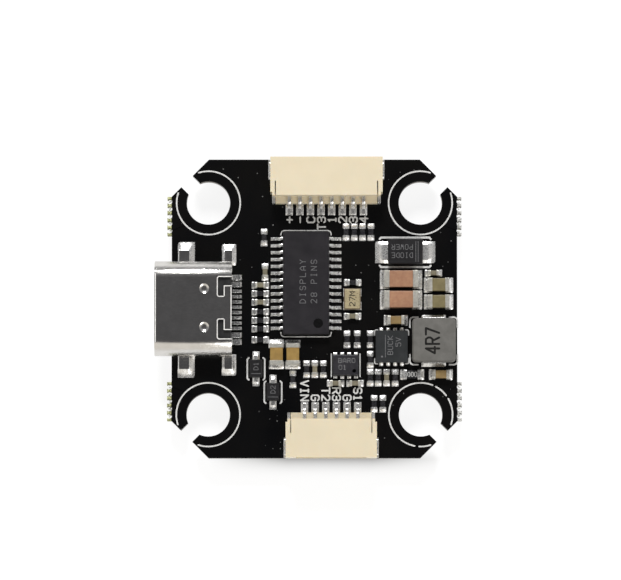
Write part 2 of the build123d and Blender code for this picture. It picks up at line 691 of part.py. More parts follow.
# ================================================================ press switch
with BuildPart() as boot_switch_base:
    with Locations(SWITCH_PLACE):
        block(SWITCH_X, SWITCH_Y, SWITCH_BASE_H)
        with Locations((0, 0, SWITCH_FLOOR)):
            Cylinder(
                WELL_R,
                SWITCH_BASE_H,
                align=(Align.CENTER, Align.CENTER, Align.MIN),
                mode=Mode.SUBTRACT,
            )
with BuildPart() as boot_switch_cover:
    with Locations(SWITCH_PLACE):
        block(SWITCH_X + 2 * COVER_T, SWITCH_Y, COVER_T, lift=SWITCH_BASE_H)
        with Locations((0, 0, SWITCH_BASE_H)):
            Cylinder(COVER_HOLE_R, 4 * COVER_T, mode=Mode.SUBTRACT)
        for side in (1, -1):
            with Locations((side * (SWITCH_X + COVER_T) / 2, 0)):
                block(COVER_T, SWITCH_Y / 2, COVER_SKIRT, lift=SWITCH_BASE_H - COVER_SKIRT)
with BuildPart() as plunger_shape:
    with BuildSketch(Plane.XZ):
        with BuildLine():
            Polyline(
                (0, FLANGE_Z),
                (FLANGE_R, FLANGE_Z),
                (FLANGE_R, FLANGE_Z + FLANGE_T),
                (STEM_R, FLANGE_Z + FLANGE_T),
                (STEM_R, STEM_TOP),
                (0, STEM_TOP),
                close=True,
            )
        make_face()
    revolve(axis=Axis.Z)
    fillet(plunger_shape.edges().group_by(Axis.Z)[-1], radius=0.12)
boot_switch_plunger = placed(plunger_shape.part, SWITCH_PLACE)
with BuildPart() as dome_shape:
    with BuildSketch(Plane.XZ):
        with BuildLine():
            ThreePointArc((-DOME_R, SWITCH_FLOOR), (0, SWITCH_FLOOR + DOME_RISE), (DOME_R, SWITCH_FLOOR))
            Line((DOME_R, SWITCH_FLOOR), (DOME_R - DOME_T, SWITCH_FLOOR))
            ThreePointArc(
                (DOME_R - DOME_T, SWITCH_FLOOR),
                (0, SWITCH_FLOOR + DOME_RISE - DOME_T),
                (DOME_T - DOME_R, SWITCH_FLOOR),
            )
            Line((DOME_T - DOME_R, SWITCH_FLOOR), (-DOME_R, SWITCH_FLOOR))
        make_face()
        split(bisect_by=Plane.YZ, keep=Keep.TOP)
    revolve(axis=Axis.Z)
boot_switch_dome = placed(dome_shape.part, SWITCH_PLACE)

# ================================================================ solder pads
with BuildPart() as solder_pads_top:
    chip_pads(CHIP_0402R, RESISTOR_PLACES + CAPACITOR_PLACES)
    chip_pads(CHIP_0603C, FILTER_CAPACITOR_PLACES + JUMPER_PLACES)
    chip_pads(CHIP_0805, OUTPUT_CAPACITOR_PLACES)
    chip_pads(CHIP_1206, BULK_CAPACITOR_PLACES)
    with Locations(OSD_PLACE):
        pad_rows(3.32, 0.95, 0.3, on_grid(OSD_WAYS, OSD_PITCH))
    with Locations(SCHOTTKY_PLACE):
        pad_rows(2.83, 1.6, 2.05, [0])
    with Locations(*TVS_PLACES):
        pad_rows(1.64, 0.9, 0.66, [0])
    with Locations(BUCK_PLACE):
        pad_rows(1.81, 0.7, 0.36, on_grid(4, 0.65))
        pad(1.5, 2.3)
    with Locations(BAROMETER_PLACE * Location((0, 0, 0), (0, 0, 90))):
        pad_rows(1.23, 0.5, 0.36, on_grid(4, 0.65))
    with Locations(OSCILLATOR_PLACE):
        pad_rows(0.85, 0.6, 0.75, [-0.63, 0.63])
    with Locations(INDUCTOR_PLACE):
        pad_rows(2.44, 1.5, 2.3, [0])
    for foot_x, foot_length, reach in USB_FOOT_PADS:
        with Locations(*[(foot_x, USB_Y + side * (reach + 4.2) / 2, USB_FLOOR) for side in (1, -1)]):
            pad(foot_length, reach - 4.2)
    for y in UPPER_CONTACTS + LOWER_CONTACTS:
        with Locations((-7.35, USB_Y + y, USB_FLOOR)):
            pad(1.0, 0.3)
    for y in POWER_CONTACTS:
        with Locations((-7.35, USB_Y + y, USB_FLOOR)):
            pad(1.0, 0.52)
    for ways, place in ((ESC_WAYS, ESC_PLACE), (VTX_WAYS, VTX_PLACE)):
        half_width = (ways - 1) * SOCKET_PITCH / 2 + SOCKET_MARGIN
        with Locations(place):
            with Locations(*[(x, -0.52) for x in on_grid(ways, SOCKET_PITCH)]):
                pad(0.68, 1.04)
            with Locations(*[(side * (half_width - 0.05), 3.2) for side in (1, -1)]):
                pad(0.5, 1.8)

with BuildPart() as solder_pads_bottom:
    chip_pads(CHIP_0402R, UNDER_RESISTOR_PLACES + UNDER_CAPACITOR_PLACES)
    chip_pads(CHIP_0603R, LED_PLACES)
    with Locations(MCU_PLACE):
        pad_rows(6.25, 1.1, 0.3, on_grid(MCU_WAYS, MCU_PITCH), sides=(0, 90, 180, 270))
    with Locations(LDO_PLACE):
        pad_rows(1.7, 0.9, 0.55, on_grid(3, LDO_PITCH), sides=[0])
        pad_rows(1.7, 0.9, 0.55, on_grid(2, 2 * LDO_PITCH), sides=[180])
    with Locations(GYRO_PLACE):
        pad_rows(1.45, 0.6, 0.35, on_grid(4, 0.65))
    with Locations(FLASH_PLACE):
        pad_rows(2.25, 0.65, 0.3, on_grid(4, 0.5))
    with Locations(CRYSTAL_PLACE):
        pad_rows(1.8, 1.3, 0.95, [-0.85, 0.85])
    with Locations(SWITCH_PLACE):
        pad_rows(2.5, 0.9, 0.8, [-0.9, 0.9])
    with Locations(*[on_underside(x, y) for x, y in WIRE_PAD_ROWS]):
        pad(*WIRE_PAD_SIZE)

# ================================================================ export
PIECES = {
    "circuit_board": circuit_board,
    "solder_pads_top": solder_pads_top,
    "solder_pads_bottom": solder_pads_bottom,
    "usb_shell": usb_shell,
    "usb_insulator": usb_insulator,
    "usb_contacts": usb_contacts,
    "usb_mid_plate": usb_mid_plate,
    **socket_parts,
    "osd_chip_body": osd_chip_body,
    "osd_chip_leads": osd_chip_leads,
    "oscillator_base": oscillator_base,
    "oscillator_lid": oscillator_lid,
    "schottky_diode_body": schottky_diode_body,
    "schottky_diode_leads": schottky_diode_leads,
    "buck_regulator_body": buck_regulator_body,
    "buck_regulator_leads": buck_regulator_leads,
    "barometer_base": barometer_base,
    "barometer_lid": barometer_lid,
    "tvs_diode_bodies": tvs_diode_bodies,
    "tvs_diode_leads": tvs_diode_leads,
    "inductor_core": inductor_core,
    "inductor_coil": inductor_coil,
    "inductor_terminals": inductor_terminals,
    "bulk_capacitor_bodies": bulk_capacitor_bodies,
    "bulk_capacitor_terminals": bulk_capacitor_terminals,
    "output_capacitor_bodies": output_capacitor_bodies,
    "output_capacitor_terminals": output_capacitor_terminals,
    "filter_capacitor_bodies": filter_capacitor_bodies,
    "filter_capacitor_terminals": filter_capacitor_terminals,
    "resistor_0402_bodies": resistor_0402_bodies,
    "resistor_0402_terminals": resistor_0402_terminals,
    "capacitor_0402_bodies": capacitor_0402_bodies,
    "capacitor_0402_terminals": capacitor_0402_terminals,
    "jumper_resistor_body": jumper_resistor_body,
    "jumper_resistor_terminals": jumper_resistor_terminals,
    "processor_body": processor_body,
    "processor_leads": processor_leads,
    "gyro_sensor_body": gyro_sensor_body,
    "gyro_sensor_pads": gyro_sensor_pads,
    "flash_memory_body": flash_memory_body,
    "flash_memory_pads": flash_memory_pads,
    "regulator_3v3_body": regulator_3v3_body,
    "regulator_3v3_leads": regulator_3v3_leads,
    "processor_crystal_base": processor_crystal_base,
    "processor_crystal_lid": processor_crystal_lid,
    "boot_switch_base": boot_switch_base,
    "boot_switch_cover": boot_switch_cover,
    "boot_switch_plunger": boot_switch_plunger,
    "boot_switch_dome": boot_switch_dome,
    "status_led_bodies": status_led_bodies,
    "status_led_terminals": status_led_terminals,
}
for name, piece in PIECES.items():
    piece.part.label = name
    export_step(piece.part, f"parts/{name}.step")
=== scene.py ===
"""Looks for the flight controller board: materials, rounded edges, solder, print and laser marks on the
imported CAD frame, on a lit white table in a pale studio. Lengths are in millimetres until MM."""

import json
import math
import random

import bpy
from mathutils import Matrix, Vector
from mathutils.geometry import intersect_point_tri_2d


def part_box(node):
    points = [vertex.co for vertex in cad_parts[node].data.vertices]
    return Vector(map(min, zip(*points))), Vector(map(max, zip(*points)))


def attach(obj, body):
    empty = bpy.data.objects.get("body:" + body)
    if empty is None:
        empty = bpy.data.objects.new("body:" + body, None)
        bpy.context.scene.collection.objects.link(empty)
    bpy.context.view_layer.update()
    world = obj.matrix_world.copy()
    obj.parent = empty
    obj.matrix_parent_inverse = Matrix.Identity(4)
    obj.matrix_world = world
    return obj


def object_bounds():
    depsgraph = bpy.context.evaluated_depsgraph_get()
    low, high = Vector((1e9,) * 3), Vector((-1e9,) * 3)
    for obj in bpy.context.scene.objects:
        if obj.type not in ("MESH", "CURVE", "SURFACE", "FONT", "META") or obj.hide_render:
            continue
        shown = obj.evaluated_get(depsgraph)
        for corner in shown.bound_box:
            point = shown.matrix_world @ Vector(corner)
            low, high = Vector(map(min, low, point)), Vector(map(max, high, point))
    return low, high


MM = 0.001
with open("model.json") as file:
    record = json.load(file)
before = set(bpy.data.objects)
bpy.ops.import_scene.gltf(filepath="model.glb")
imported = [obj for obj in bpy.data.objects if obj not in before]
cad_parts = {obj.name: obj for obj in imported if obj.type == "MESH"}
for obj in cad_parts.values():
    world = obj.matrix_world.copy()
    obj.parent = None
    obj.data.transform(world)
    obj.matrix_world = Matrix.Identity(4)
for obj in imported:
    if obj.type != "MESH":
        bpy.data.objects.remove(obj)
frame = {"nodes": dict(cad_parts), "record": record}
cad_low, cad_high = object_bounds()
nodes = frame["nodes"]
rng = random.Random(20)

# ---------------------------------------------------------------- sizes read from the frame, in millimetres


def box_mm(node):
    """The lowest and highest corners of a CAD node in millimetres."""
    low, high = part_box(node)
    return low / MM, high / MM


BOARD_HIGH = box_mm("circuit_board")[1]
TOP_Z = BOARD_HIGH.z
TAB_REACH = 0.42  # how far the snapped tab stubs stand out from the long sides
HALF_X = BOARD_HIGH.x - TAB_REACH
HOLES = frame["record"]["mounts"][0]["dims"]
HOLE_X = HOLES["spacing_x_mm"] / 2
HOLE_Y = HOLES["spacing_y_mm"] / 2
TAIL_START = -8.4  # X where the connector's contacts come out behind the shell as tails
CORNERS = [(1, 1), (1, -1), (-1, 1), (-1, -1)]
PRINT_T = 0.012
MARK_T = 0.006
SUNK = 0.002  # how far marks start inside the surface that they lie on
FLUSH_MARK_T = 0.0055  # thickness and depth of marks that stand out less
FLUSH_SUNK = 0.004
OLIVE_FROM_X = 10.4  # beyond this the output capacitors come from another batch

# ---------------------------------------------------------------- material tools


class Surface:
    """A material with a Principled shader, and short names for the nodes that its texture is built from."""

    def __init__(self, name):
        self.material = bpy.data.materials.new(name)
        self.material.use_nodes = True
        self.tree = self.material.node_tree
        self.shader = self.tree.nodes["Principled BSDF"]
        self.place = self.node("ShaderNodeTexCoord").outputs["Object"]

    def node(self, kind, **values):
        """Adds a shader node and sets its own fields."""
        made = self.tree.nodes.new(kind)
        for name, value in values.items():
            setattr(made, name, value)
        return made

    def feed(self, socket, value):
        """Links a socket to another's output, or sets it to a plain value."""
        if isinstance(value, bpy.types.NodeSocket):
            self.tree.links.new(value, socket)
        else:
            socket.default_value = value

    def noise(self, grain, detail=4.0, roughness=0.55):
        """Noise whose lumps are about one grain wide, in millimetres."""
        made = self.node("ShaderNodeTexNoise")
        self.feed(made.inputs["Vector"], self.place)
        made.inputs["Scale"].default_value = 1 / (grain * MM)
        made.inputs["Detail"].default_value = detail
        made.inputs["Roughness"].default_value = roughness
        return made.outputs["Fac"]

    def spread(self, value, low, high, to_low=0.0, to_high=1.0):
        """Maps a range of values onto another one, clamped."""
        made = self.node("ShaderNodeMapRange")
        for socket, number in zip(made.inputs[:5], (value, low, high, to_low, to_high)):
            self.feed(socket, number)
        return made.outputs["Result"]

    def math(self, operation, first, second=0.0):
        """One sum on two numbers."""
        made = self.node("ShaderNodeMath", operation=operation)
        self.feed(made.inputs[0], first)
        self.feed(made.inputs[1], second)
        return made.outputs[0]

    def mix(self, amount, first, second):
        """Blends two colours."""
        made = self.node("ShaderNodeMix", data_type="RGBA")
        self.feed(made.inputs["Factor"], amount)
        self.feed(made.inputs["A"], first if isinstance(first, bpy.types.NodeSocket) else (*first, 1.0))
        self.feed(made.inputs["B"], second if isinstance(second, bpy.types.NodeSocket) else (*second, 1.0))
        return made.outputs["Result"]

    def per_piece(self, colour, spread):
        """Makes each separate solid a little lighter or darker than the next."""
        geometry = self.node("ShaderNodeNewGeometry")
        value = self.spread(geometry.outputs["Random Per Island"], 0.0, 1.0, 1 - spread, 1 + spread)
        made = self.node("ShaderNodeHueSaturation")
        self.feed(made.inputs["Value"], value)
        self.feed(made.inputs["Color"], colour)
        return made.outputs["Color"]

    def bump(self, height, depth, under=None):
        """Turns a height from 0 to 1 into relief of the given depth in millimetres."""
        made = self.node("ShaderNodeBump")
        made.inputs["Distance"].default_value = depth * MM
        self.feed(made.inputs["Height"], height)
        if under is not None:
            self.feed(made.inputs["Normal"], under)
        return made.outputs["Normal"]

    def set(self, **values):
        """Feeds the shader's sockets: base_color=..., roughness=... and so on."""
        for name, value in values.items():
            socket = self.shader.inputs[name.replace("_", " ").title().replace("Ior", "IOR")]
            if isinstance(value, tuple) and len(value) == 3:
                value = (*value, 1.0)
            self.feed(socket, value)


def plain(name, dark, light, grain, rough, metallic=0.0, relief=0.0, relief_grain=0.1, vary=0.0, **shader):
    """A surface mottled between two colours, with uneven gloss and fine relief, all in millimetres."""
    made = Surface(name)
    colour = made.mix(made.spread(made.noise(grain), 0.35, 0.65), dark, light)
    if vary:
        colour = made.per_piece(colour, vary)
    made.set(
        base_color=colour,
        roughness=made.spread(made.noise(grain * 0.6), 0.3, 0.7, *rough),
        metallic=metallic,
        **shader,
    )
    if relief:
        made.set(normal=made.bump(made.noise(relief_grain), relief))
    return made.material


def board_surface():
    """Black solder mask, the glass-fibre core along the edges and raw fibre on the snapped tabs."""
    made = Surface("solder_mask")
    position = made.node("ShaderNodeSeparateXYZ")
    made.feed(position.inputs[0], made.place)
    facing = made.node("ShaderNodeSeparateXYZ")
    made.feed(facing.inputs[0], made.node("ShaderNodeNewGeometry").outputs["True Normal"])
    upright = made.spread(made.math("ABSOLUTE", facing.outputs["Z"]), 0.4, 0.6, 1.0, 0.0)
    ply = made.math("ADD", position.outputs["Z"], made.math("MULTIPLY", made.noise(0.5), 0.12 * MM))
    # The core shows between these two heights, with dark mask above and below it.
    core = made.math(
        "MULTIPLY",
        made.spread(ply, 0.42 * MM, 0.5 * MM),
        made.spread(ply, 1.12 * MM, 1.2 * MM, 1.0, 0.0),
    )
    tone = made.spread(made.noise(5.0), 0.3, 0.7)
    varnish = made.mix(tone, (0.0020, 0.0021, 0.0026), (0.0040, 0.0037, 0.0034))
    edge = made.mix(made.noise(0.25), (0.10, 0.085, 0.06), (0.26, 0.22, 0.16))
    colour = made.mix(made.math("MULTIPLY", upright, core), varnish, edge)
    snapped = made.spread(made.math("ABSOLUTE", position.outputs["X"]), HALF_X * MM, (HALF_X + 0.06) * MM)
    torn = made.spread(made.noise(0.12), 0.4, 0.6)
    greenish = made.mix(torn, (0.16, 0.16, 0.07), (0.62, 0.64, 0.36))
    greyish = made.mix(torn, (0.22, 0.22, 0.21), (0.62, 0.62, 0.60))
    fibre = made.mix(made.spread(position.outputs["X"], -MM, MM), greenish, greyish)
    made.set(
        base_color=made.mix(snapped, colour, fibre),
        roughness=made.math("MAXIMUM", made.spread(made.noise(3.0), 0.3, 0.7, 0.16, 0.22), snapped),
        specular_ior_level=0.22,
    )
    weave = made.bump(made.noise(0.35, detail=2.0), 0.0015)
    rough_edge = made.bump(made.noise(0.09), 0.03)
    choice = made.node("ShaderNodeMix", data_type="VECTOR")
    made.feed(choice.inputs["Factor"], snapped)
    made.feed(choice.inputs[4], weave)
    made.feed(choice.inputs[5], rough_edge)
    made.set(normal=choice.outputs[1])
    return made.material


def shell_surface():
    """Nickel-plated steel with faint drawing marks along the shell and orange-peel on its bent sides."""
    made = Surface("nickel_plate")
    stretched = made.node("ShaderNodeMapping")
    stretched.inputs["Scale"].default_value = (0.15, 1.0, 1.0)
    made.feed(stretched.inputs["Vector"], made.place)
    drawn = made.node("ShaderNodeTexNoise")
    made.feed(drawn.inputs["Vector"], stretched.outputs[0])
    drawn.inputs["Scale"].default_value = 1 / (0.05 * MM)
    facing = made.node("ShaderNodeSeparateXYZ")
    made.feed(facing.inputs[0], made.node("ShaderNodeNewGeometry").outputs["True Normal"])
    bent = made.spread(made.math("ABSOLUTE", facing.outputs["Z"]), 0.75, 0.98, 1.0, 0.0)
    peel = made.bump(made.math("MULTIPLY", made.noise(0.13, detail=2.0), bent), 0.03)
    tone = made.spread(made.noise(1.6), 0.3, 0.7)
    made.set(
        base_color=made.mix(tone, (0.60, 0.585, 0.56), (0.70, 0.685, 0.66)),
        metallic=1.0,
        roughness=made.spread(drawn.outputs["Fac"], 0.3, 0.7, 0.12, 0.20),
        normal=made.bump(drawn.outputs["Fac"], 0.0008, peel),
    )
    return made.material


def nylon_surface():
    """Natural nylon: cream, a little see-through, with soft flow marks."""
    made = Surface("natural_nylon")
    tone = made.spread(made.noise(2.2, detail=3.0), 0.35, 0.65)
    made.set(
        base_color=made.mix(tone, (0.655, 0.58, 0.425), (0.675, 0.598, 0.44)),
        roughness=made.spread(made.noise(0.6), 0.3, 0.7, 0.38, 0.5),
        normal=made.bump(made.noise(0.08), 0.003),
        subsurface_weight=0.25,
        subsurface_scale=0.4 * MM,
        subsurface_radius=Vector((1.0, 0.7, 0.4)),
    )
    return made.material


def crystal_lid_surface():
    """A plated lid in warm metal, freckled where the laser has burnt its print."""
    made = Surface("crystal_lid")
    burnt = made.spread(made.noise(0.11, detail=1.0), 0.60, 0.66)
    metal = made.mix(made.noise(0.8), (0.40, 0.34, 0.20), (0.47, 0.40, 0.25))
    made.set(
        base_color=made.mix(burnt, metal, (0.14, 0.09, 0.05)),
        metallic=0.3,
        roughness=made.spread(made.noise(0.2), 0.3, 0.7, 0.3, 0.45),
        normal=made.bump(made.noise(0.07), 0.003),
    )
    return made.material


def contact_surface():
    """Gold flash on the blades in the mouth, tin on the tails that are soldered behind the shell."""
    made = Surface("contact_plating")
    position = made.node("ShaderNodeSeparateXYZ")
    made.feed(position.inputs[0], made.place)
    tail = made.spread(position.outputs["X"], TAIL_START * MM, (TAIL_START + 0.05) * MM)
    made.set(
        base_color=made.mix(tail, (0.80, 0.58, 0.26), (0.78, 0.775, 0.76)),
        metallic=1.0,
        roughness=made.spread(made.noise(0.2), 0.3, 0.7, 0.2, 0.32),
        normal=made.bump(made.noise(0.09), 0.006),
    )
    return made.material


def two_batch_ceramic():
    """Capacitor ceramic, golden by the regulator and duller olive beside the plug end of the board."""
    made = Surface("golden_and_olive_ceramic")
    position = made.node("ShaderNodeSeparateXYZ")
    made.feed(position.inputs[0], made.place)
    by_the_edge = made.spread(position.outputs["X"], OLIVE_FROM_X * MM, (OLIVE_FROM_X + 0.1) * MM)
    grain = made.spread(made.noise(0.5), 0.35, 0.65)
    golden = made.mix(grain, (0.24, 0.15, 0.042), (0.30, 0.19, 0.055))
    olive = made.mix(grain, (0.15, 0.125, 0.058), (0.185, 0.155, 0.075))
    made.set(
        base_color=made.mix(by_the_edge, golden, olive),
        roughness=made.spread(made.noise(0.3), 0.3, 0.7, 0.32, 0.45),
        normal=made.bump(made.noise(0.08), 0.004),
    )
    return made.material


def epoxy(name, dark, light):
    """Filled epoxy: matt, fine-grained, with a faint sheen."""
    sheen = {"specular_ior_level": 0.19}
    return plain(name, dark, light, 1.4, (0.42, 0.55), relief=0.006, relief_grain=0.06, vary=0.08, **sheen)


def ceramic(name, dark, light):
    """Fired capacitor ceramic."""
    return plain(name, dark, light, 0.5, (0.32, 0.45), relief=0.004, relief_grain=0.08, vary=0.10)


tin = plain(
    "tinned_solder", (0.72, 0.71, 0.69), (0.86, 0.86, 0.85), 0.25, (0.2, 0.36), 0.82, 0.010, 0.14, vary=0.05
)
tinned_lead = plain(
    "tinned_lead", (0.66, 0.655, 0.64), (0.80, 0.795, 0.785), 0.2, (0.22, 0.38), 0.85, 0.008, 0.09, vary=0.06
)
cap_end = plain(
    "capacitor_end", (0.66, 0.64, 0.57), (0.82, 0.80, 0.73), 0.2, (0.30, 0.45), 1.0, 0.012, 0.09, vary=0.06
)
copper = plain("enamelled_copper", (0.45, 0.16, 0.07), (0.62, 0.26, 0.12), 0.3, (0.2, 0.3), 1.0, 0.01, 0.12)
dark_lid = plain("dark_lid", (0.035, 0.034, 0.04), (0.05, 0.048, 0.055), 0.8, (0.3, 0.4), 0.6, 0.004, 0.07)
black_moulding = plain(
    "black_moulding", (0.008, 0.008, 0.009), (0.015, 0.015, 0.016), 0.6, (0.35, 0.5), 0.0, 0.005
)
crystal_tray = plain("crystal_tray", (0.10, 0.075, 0.045), (0.18, 0.14, 0.09), 0.3, (0.4, 0.55), 0.0, 0.006)
ferrite = plain(
    "iron_powder", (0.096, 0.093, 0.085), (0.125, 0.121, 0.112), 0.9, (0.45, 0.6), 0.0, 0.010, 0.09
)
led_lens = plain(
    "led_epoxy", (0.72, 0.70, 0.55), (0.85, 0.84, 0.72), 0.3, (0.15, 0.25), 0.0, 0.003, coat_weight=0.5
)
button_nylon = plain(
    "button_nylon", (0.012, 0.012, 0.012), (0.022, 0.022, 0.022), 0.4, (0.4, 0.5), 0.0, 0.006
)
resistor_glaze = plain(
    "resistor_glaze", (0.010, 0.010, 0.012), (0.022, 0.021, 0.023), 0.3, (0.22, 0.35), 0.0, 0.004
)
silk = plain("white_print", (0.47, 0.47, 0.46), (0.66, 0.66, 0.65), 0.15, (0.55, 0.7), 0.0, 0.006, 0.08)
laser = plain("laser_mark", (0.085, 0.085, 0.09), (0.15, 0.15, 0.155), 0.12, (0.6, 0.75), 0.0, 0.004)
dark_ink = plain(
    "dark_ink", (0.006, 0.006, 0.006), (0.014, 0.013, 0.012), 0.2, (0.5, 0.65), specular_ior_level=0.15
)
# Painted highlight: pale strokes that stand in for the light caught by the shell's rounded cut edges.
rim_highlight = plain("rim_highlight", (0.66, 0.65, 0.63), (0.86, 0.85, 0.83), 0.3, (0.4, 0.6), 0.2, 0.004)
# Painted shade: a near-black, low-sheen disc that stands in for the hollow of the display chip's pin-one
# dimple.
painted_dimple_shade = plain(
    "painted_dimple_shade",
    (0.003, 0.003, 0.0032),
    (0.005, 0.005, 0.0052),
    0.3,
    (0.5, 0.6),
    specular_ior_level=0.05,
)
tented_via = plain(
    "tented_via", (0.06, 0.06, 0.06), (0.16, 0.16, 0.155), 0.2, (0.25, 0.35), 0.3, 0.004, vary=0.5
)
fibre_tuft = plain("glass_fibre", (0.42, 0.43, 0.27), (0.82, 0.83, 0.66), 0.1, (0.5, 0.7), 0.0, 0.005)
mask = board_surface()
nickel = shell_surface()
contact_plating = contact_surface()
nylon = nylon_surface()
crystal_lid = crystal_lid_surface()
chip_epoxy = epoxy("chip_epoxy", (0.012, 0.011, 0.0135), (0.018, 0.0165, 0.0195))
diode_epoxy = epoxy("diode_epoxy", (0.008, 0.0075, 0.0085), (0.013, 0.0125, 0.014))
regulator_epoxy = epoxy("regulator_epoxy", (0.018, 0.020, 0.021), (0.027, 0.029, 0.031))
tan_ceramic = ceramic("tan_ceramic", (0.28, 0.14, 0.083), (0.34, 0.185, 0.108))
golden_or_olive = two_batch_ceramic()
gold_ceramic = ceramic("gold_ceramic", (0.19, 0.125, 0.05), (0.24, 0.165, 0.065))
grey_ceramic = ceramic("grey_ceramic", (0.13, 0.115, 0.075), (0.20, 0.18, 0.125))

# ------------------------------------------------------------ materials and rounded edges of the CAD nodes

# node: (material, radius of its rounded edges, steps in the rounding)
FINISH = {
    "circuit_board": (mask, 0.03, 1),
    "solder_pads_top": (tin, 0.0, 0),
    "solder_pads_bottom": (tin, 0.0, 0),
    "usb_shell": (nickel, 0.11, 3),
    "usb_insulator": (black_moulding, 0.03, 1),
    "usb_contacts": (contact_plating, 0.02, 1),
    "usb_mid_plate": (nickel, 0.0, 0),
    "osd_chip_body": (chip_epoxy, 0.05, 2),
    "osd_chip_leads": (tinned_lead, 0.02, 1),
    "oscillator_base": (crystal_tray, 0.04, 2),
    "oscillator_lid": (crystal_lid, 0.05, 3),
    "schottky_diode_body": (diode_epoxy, 0.05, 2),
    "schottky_diode_leads": (tinned_lead, 0.05, 2),
    "buck_regulator_body": (regulator_epoxy, 0.03, 2),
    "buck_regulator_leads": (tinned_lead, 0.0, 0),
    "barometer_base": (black_moulding, 0.02, 1),
    "barometer_lid": (dark_lid, 0.07, 3),
    "tvs_diode_bodies": (diode_epoxy, 0.05, 2),
    "tvs_diode_leads": (tinned_lead, 0.02, 1),
    "inductor_core": (ferrite, 0.05, 2),
    "inductor_coil": (copper, 0.0, 0),
    "inductor_terminals": (tinned_lead, 0.03, 2),
    "bulk_capacitor_bodies": (tan_ceramic, 0.10, 3),
    "bulk_capacitor_terminals": (cap_end, 0.14, 4),
    "output_capacitor_bodies": (golden_or_olive, 0.08, 3),
    "output_capacitor_terminals": (cap_end, 0.11, 4),
    "filter_capacitor_bodies": (gold_ceramic, 0.06, 3),
    "filter_capacitor_terminals": (cap_end, 0.08, 3),
    "resistor_0402_bodies": (resistor_glaze, 0.02, 1),
    "resistor_0402_terminals": (tinned_lead, 0.04, 2),
    "capacitor_0402_bodies": (grey_ceramic, 0.04, 2),
    "capacitor_0402_terminals": (cap_end, 0.06, 2),
    "jumper_resistor_body": (resistor_glaze, 0.03, 2),
    "jumper_resistor_terminals": (tinned_lead, 0.06, 2),
    "processor_body": (chip_epoxy, 0.05, 2),
    "processor_leads": (tinned_lead, 0.02, 1),
    "gyro_sensor_body": (chip_epoxy, 0.03, 2),
    "gyro_sensor_pads": (tinned_lead, 0.0, 0),
    "flash_memory_body": (chip_epoxy, 0.03, 2),
    "flash_memory_pads": (tinned_lead, 0.0, 0),
    "regulator_3v3_body": (diode_epoxy, 0.05, 2),
    "regulator_3v3_leads": (tinned_lead, 0.02, 1),
    "processor_crystal_base": (crystal_tray, 0.04, 2),
    "processor_crystal_lid": (nickel, 0.05, 3),
    "boot_switch_base": (black_moulding, 0.04, 2),
    "boot_switch_cover": (nickel, 0.03, 2),
    "boot_switch_plunger": (button_nylon, 0.0, 0),
    "boot_switch_dome": (nickel, 0.0, 0),
    "status_led_bodies": (led_lens, 0.03, 2),
    "status_led_terminals": (tinned_lead, 0.05, 2),
}
for socket in ("esc_socket", "vtx_socket"):
    FINISH[socket + "_housing"] = (nylon, 0.06, 3)
    FINISH[socket + "_contacts"] = (tinned_lead, 0.03, 2)
    FINISH[socket + "_anchors"] = (tinned_lead, 0.03, 1)


def round_edges(piece, radius, steps):
    """Joins the piece's split vertices and rounds its sharp edges."""
    weld = piece.modifiers.new("join", "WELD")
    weld.merge_threshold = 0.001 * MM
    bevel = piece.modifiers.new("round", "BEVEL")
    bevel.width = radius * MM
    bevel.segments = steps
    bevel.limit_method = "ANGLE"
    bevel.angle_limit = math.radians(35)
    bevel.use_clamp_overlap = True
    bevel.harden_normals = False


for name, (finish, radius, steps) in FINISH.items():
    piece = nodes[name]
    piece.data.materials.clear()
    piece.data.materials.append(finish)
    if steps:
        round_edges(piece, radius, steps)

# ---------------------------------------------------------------- new pieces


def new_piece(name, points, faces, material, body="board", smooth=False):
    """A mesh piece in millimetres that rides on a body."""
    mesh = bpy.data.meshes.new(name)
    mesh.from_pydata([Vector(p) * MM for p in points], [], faces)
    mesh.validate()
    mesh.polygons.foreach_set("use_smooth", [smooth] * len(mesh.polygons))
    mesh.materials.append(material)
    piece = bpy.data.objects.new(name, mesh)
    bpy.context.scene.collection.objects.link(piece)
    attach(piece, body)


class Ink:
    """Flat strokes with round ends, drawn on one level and gathered into one piece."""

    ARC = 5  # points round each end of a stroke
    STAGGER = 0.0003  # keeps strokes that overlap from sharing a level

    def __init__(self, level, thickness, down=False):
        self.points = []
        self.faces = []
        self.made = 0
        self.low = level
        self.high = level - thickness if down else level + thickness

    def prism(self, outline):
        """A thin prism over one outline."""
        first = len(self.points)
        count = len(outline)
        lift = math.copysign(self.STAGGER * (self.made % 7), self.high - self.low)
        self.made += 1
        self.points += [(x, y, self.low) for x, y in outline]
        self.points += [(x, y, self.high + lift) for x, y in outline]
        self.faces.append([first + i for i in reversed(range(count))])
        self.faces.append([first + count + i for i in range(count)])
        for i in range(count):
            j = (i + 1) % count
            self.faces.append([first + i, first + j, first + count + j, first + count + i])

    def stroke(self, path, width):
        """Joins the path's points with round-ended strokes."""
        for (x0, y0), (x1, y1) in zip(path, path[1:]):
            heading = math.atan2(y1 - y0, x1 - x0)
            outline = []
            for x, y, turn in ((x1, y1, heading - math.pi / 2), (x0, y0, heading + math.pi / 2)):
                for i in range(self.ARC):
                    angle = turn + math.pi * i / (self.ARC - 1)
                    outline.append((x + width / 2 * math.cos(angle), y + width / 2 * math.sin(angle)))
            self.prism(outline)

    def dot(self, x, y, radius, sides=20):
        """A filled disc."""
        self.prism([(x + radius * math.cos(a), y + radius * math.sin(a)) for a in turns(sides)])

    def piece(self, name, material, slot):
        """Makes one mesh piece of everything drawn."""
        outward = [face[::-1] for face in self.faces] if self.high < self.low else self.faces
        new_piece(name, self.points, outward, material)


def turns(count):
    """Angles evenly round a circle."""
    return [2 * math.pi * i / count for i in range(count)]


def arc(x, y, radius, start, end, steps):
    """Points along an arc, with its angles in degrees."""
    angles = [math.radians(start + (end - start) * i / steps) for i in range(steps + 1)]
    return [(x + radius * math.cos(a), y + radius * math.sin(a)) for a in angles]


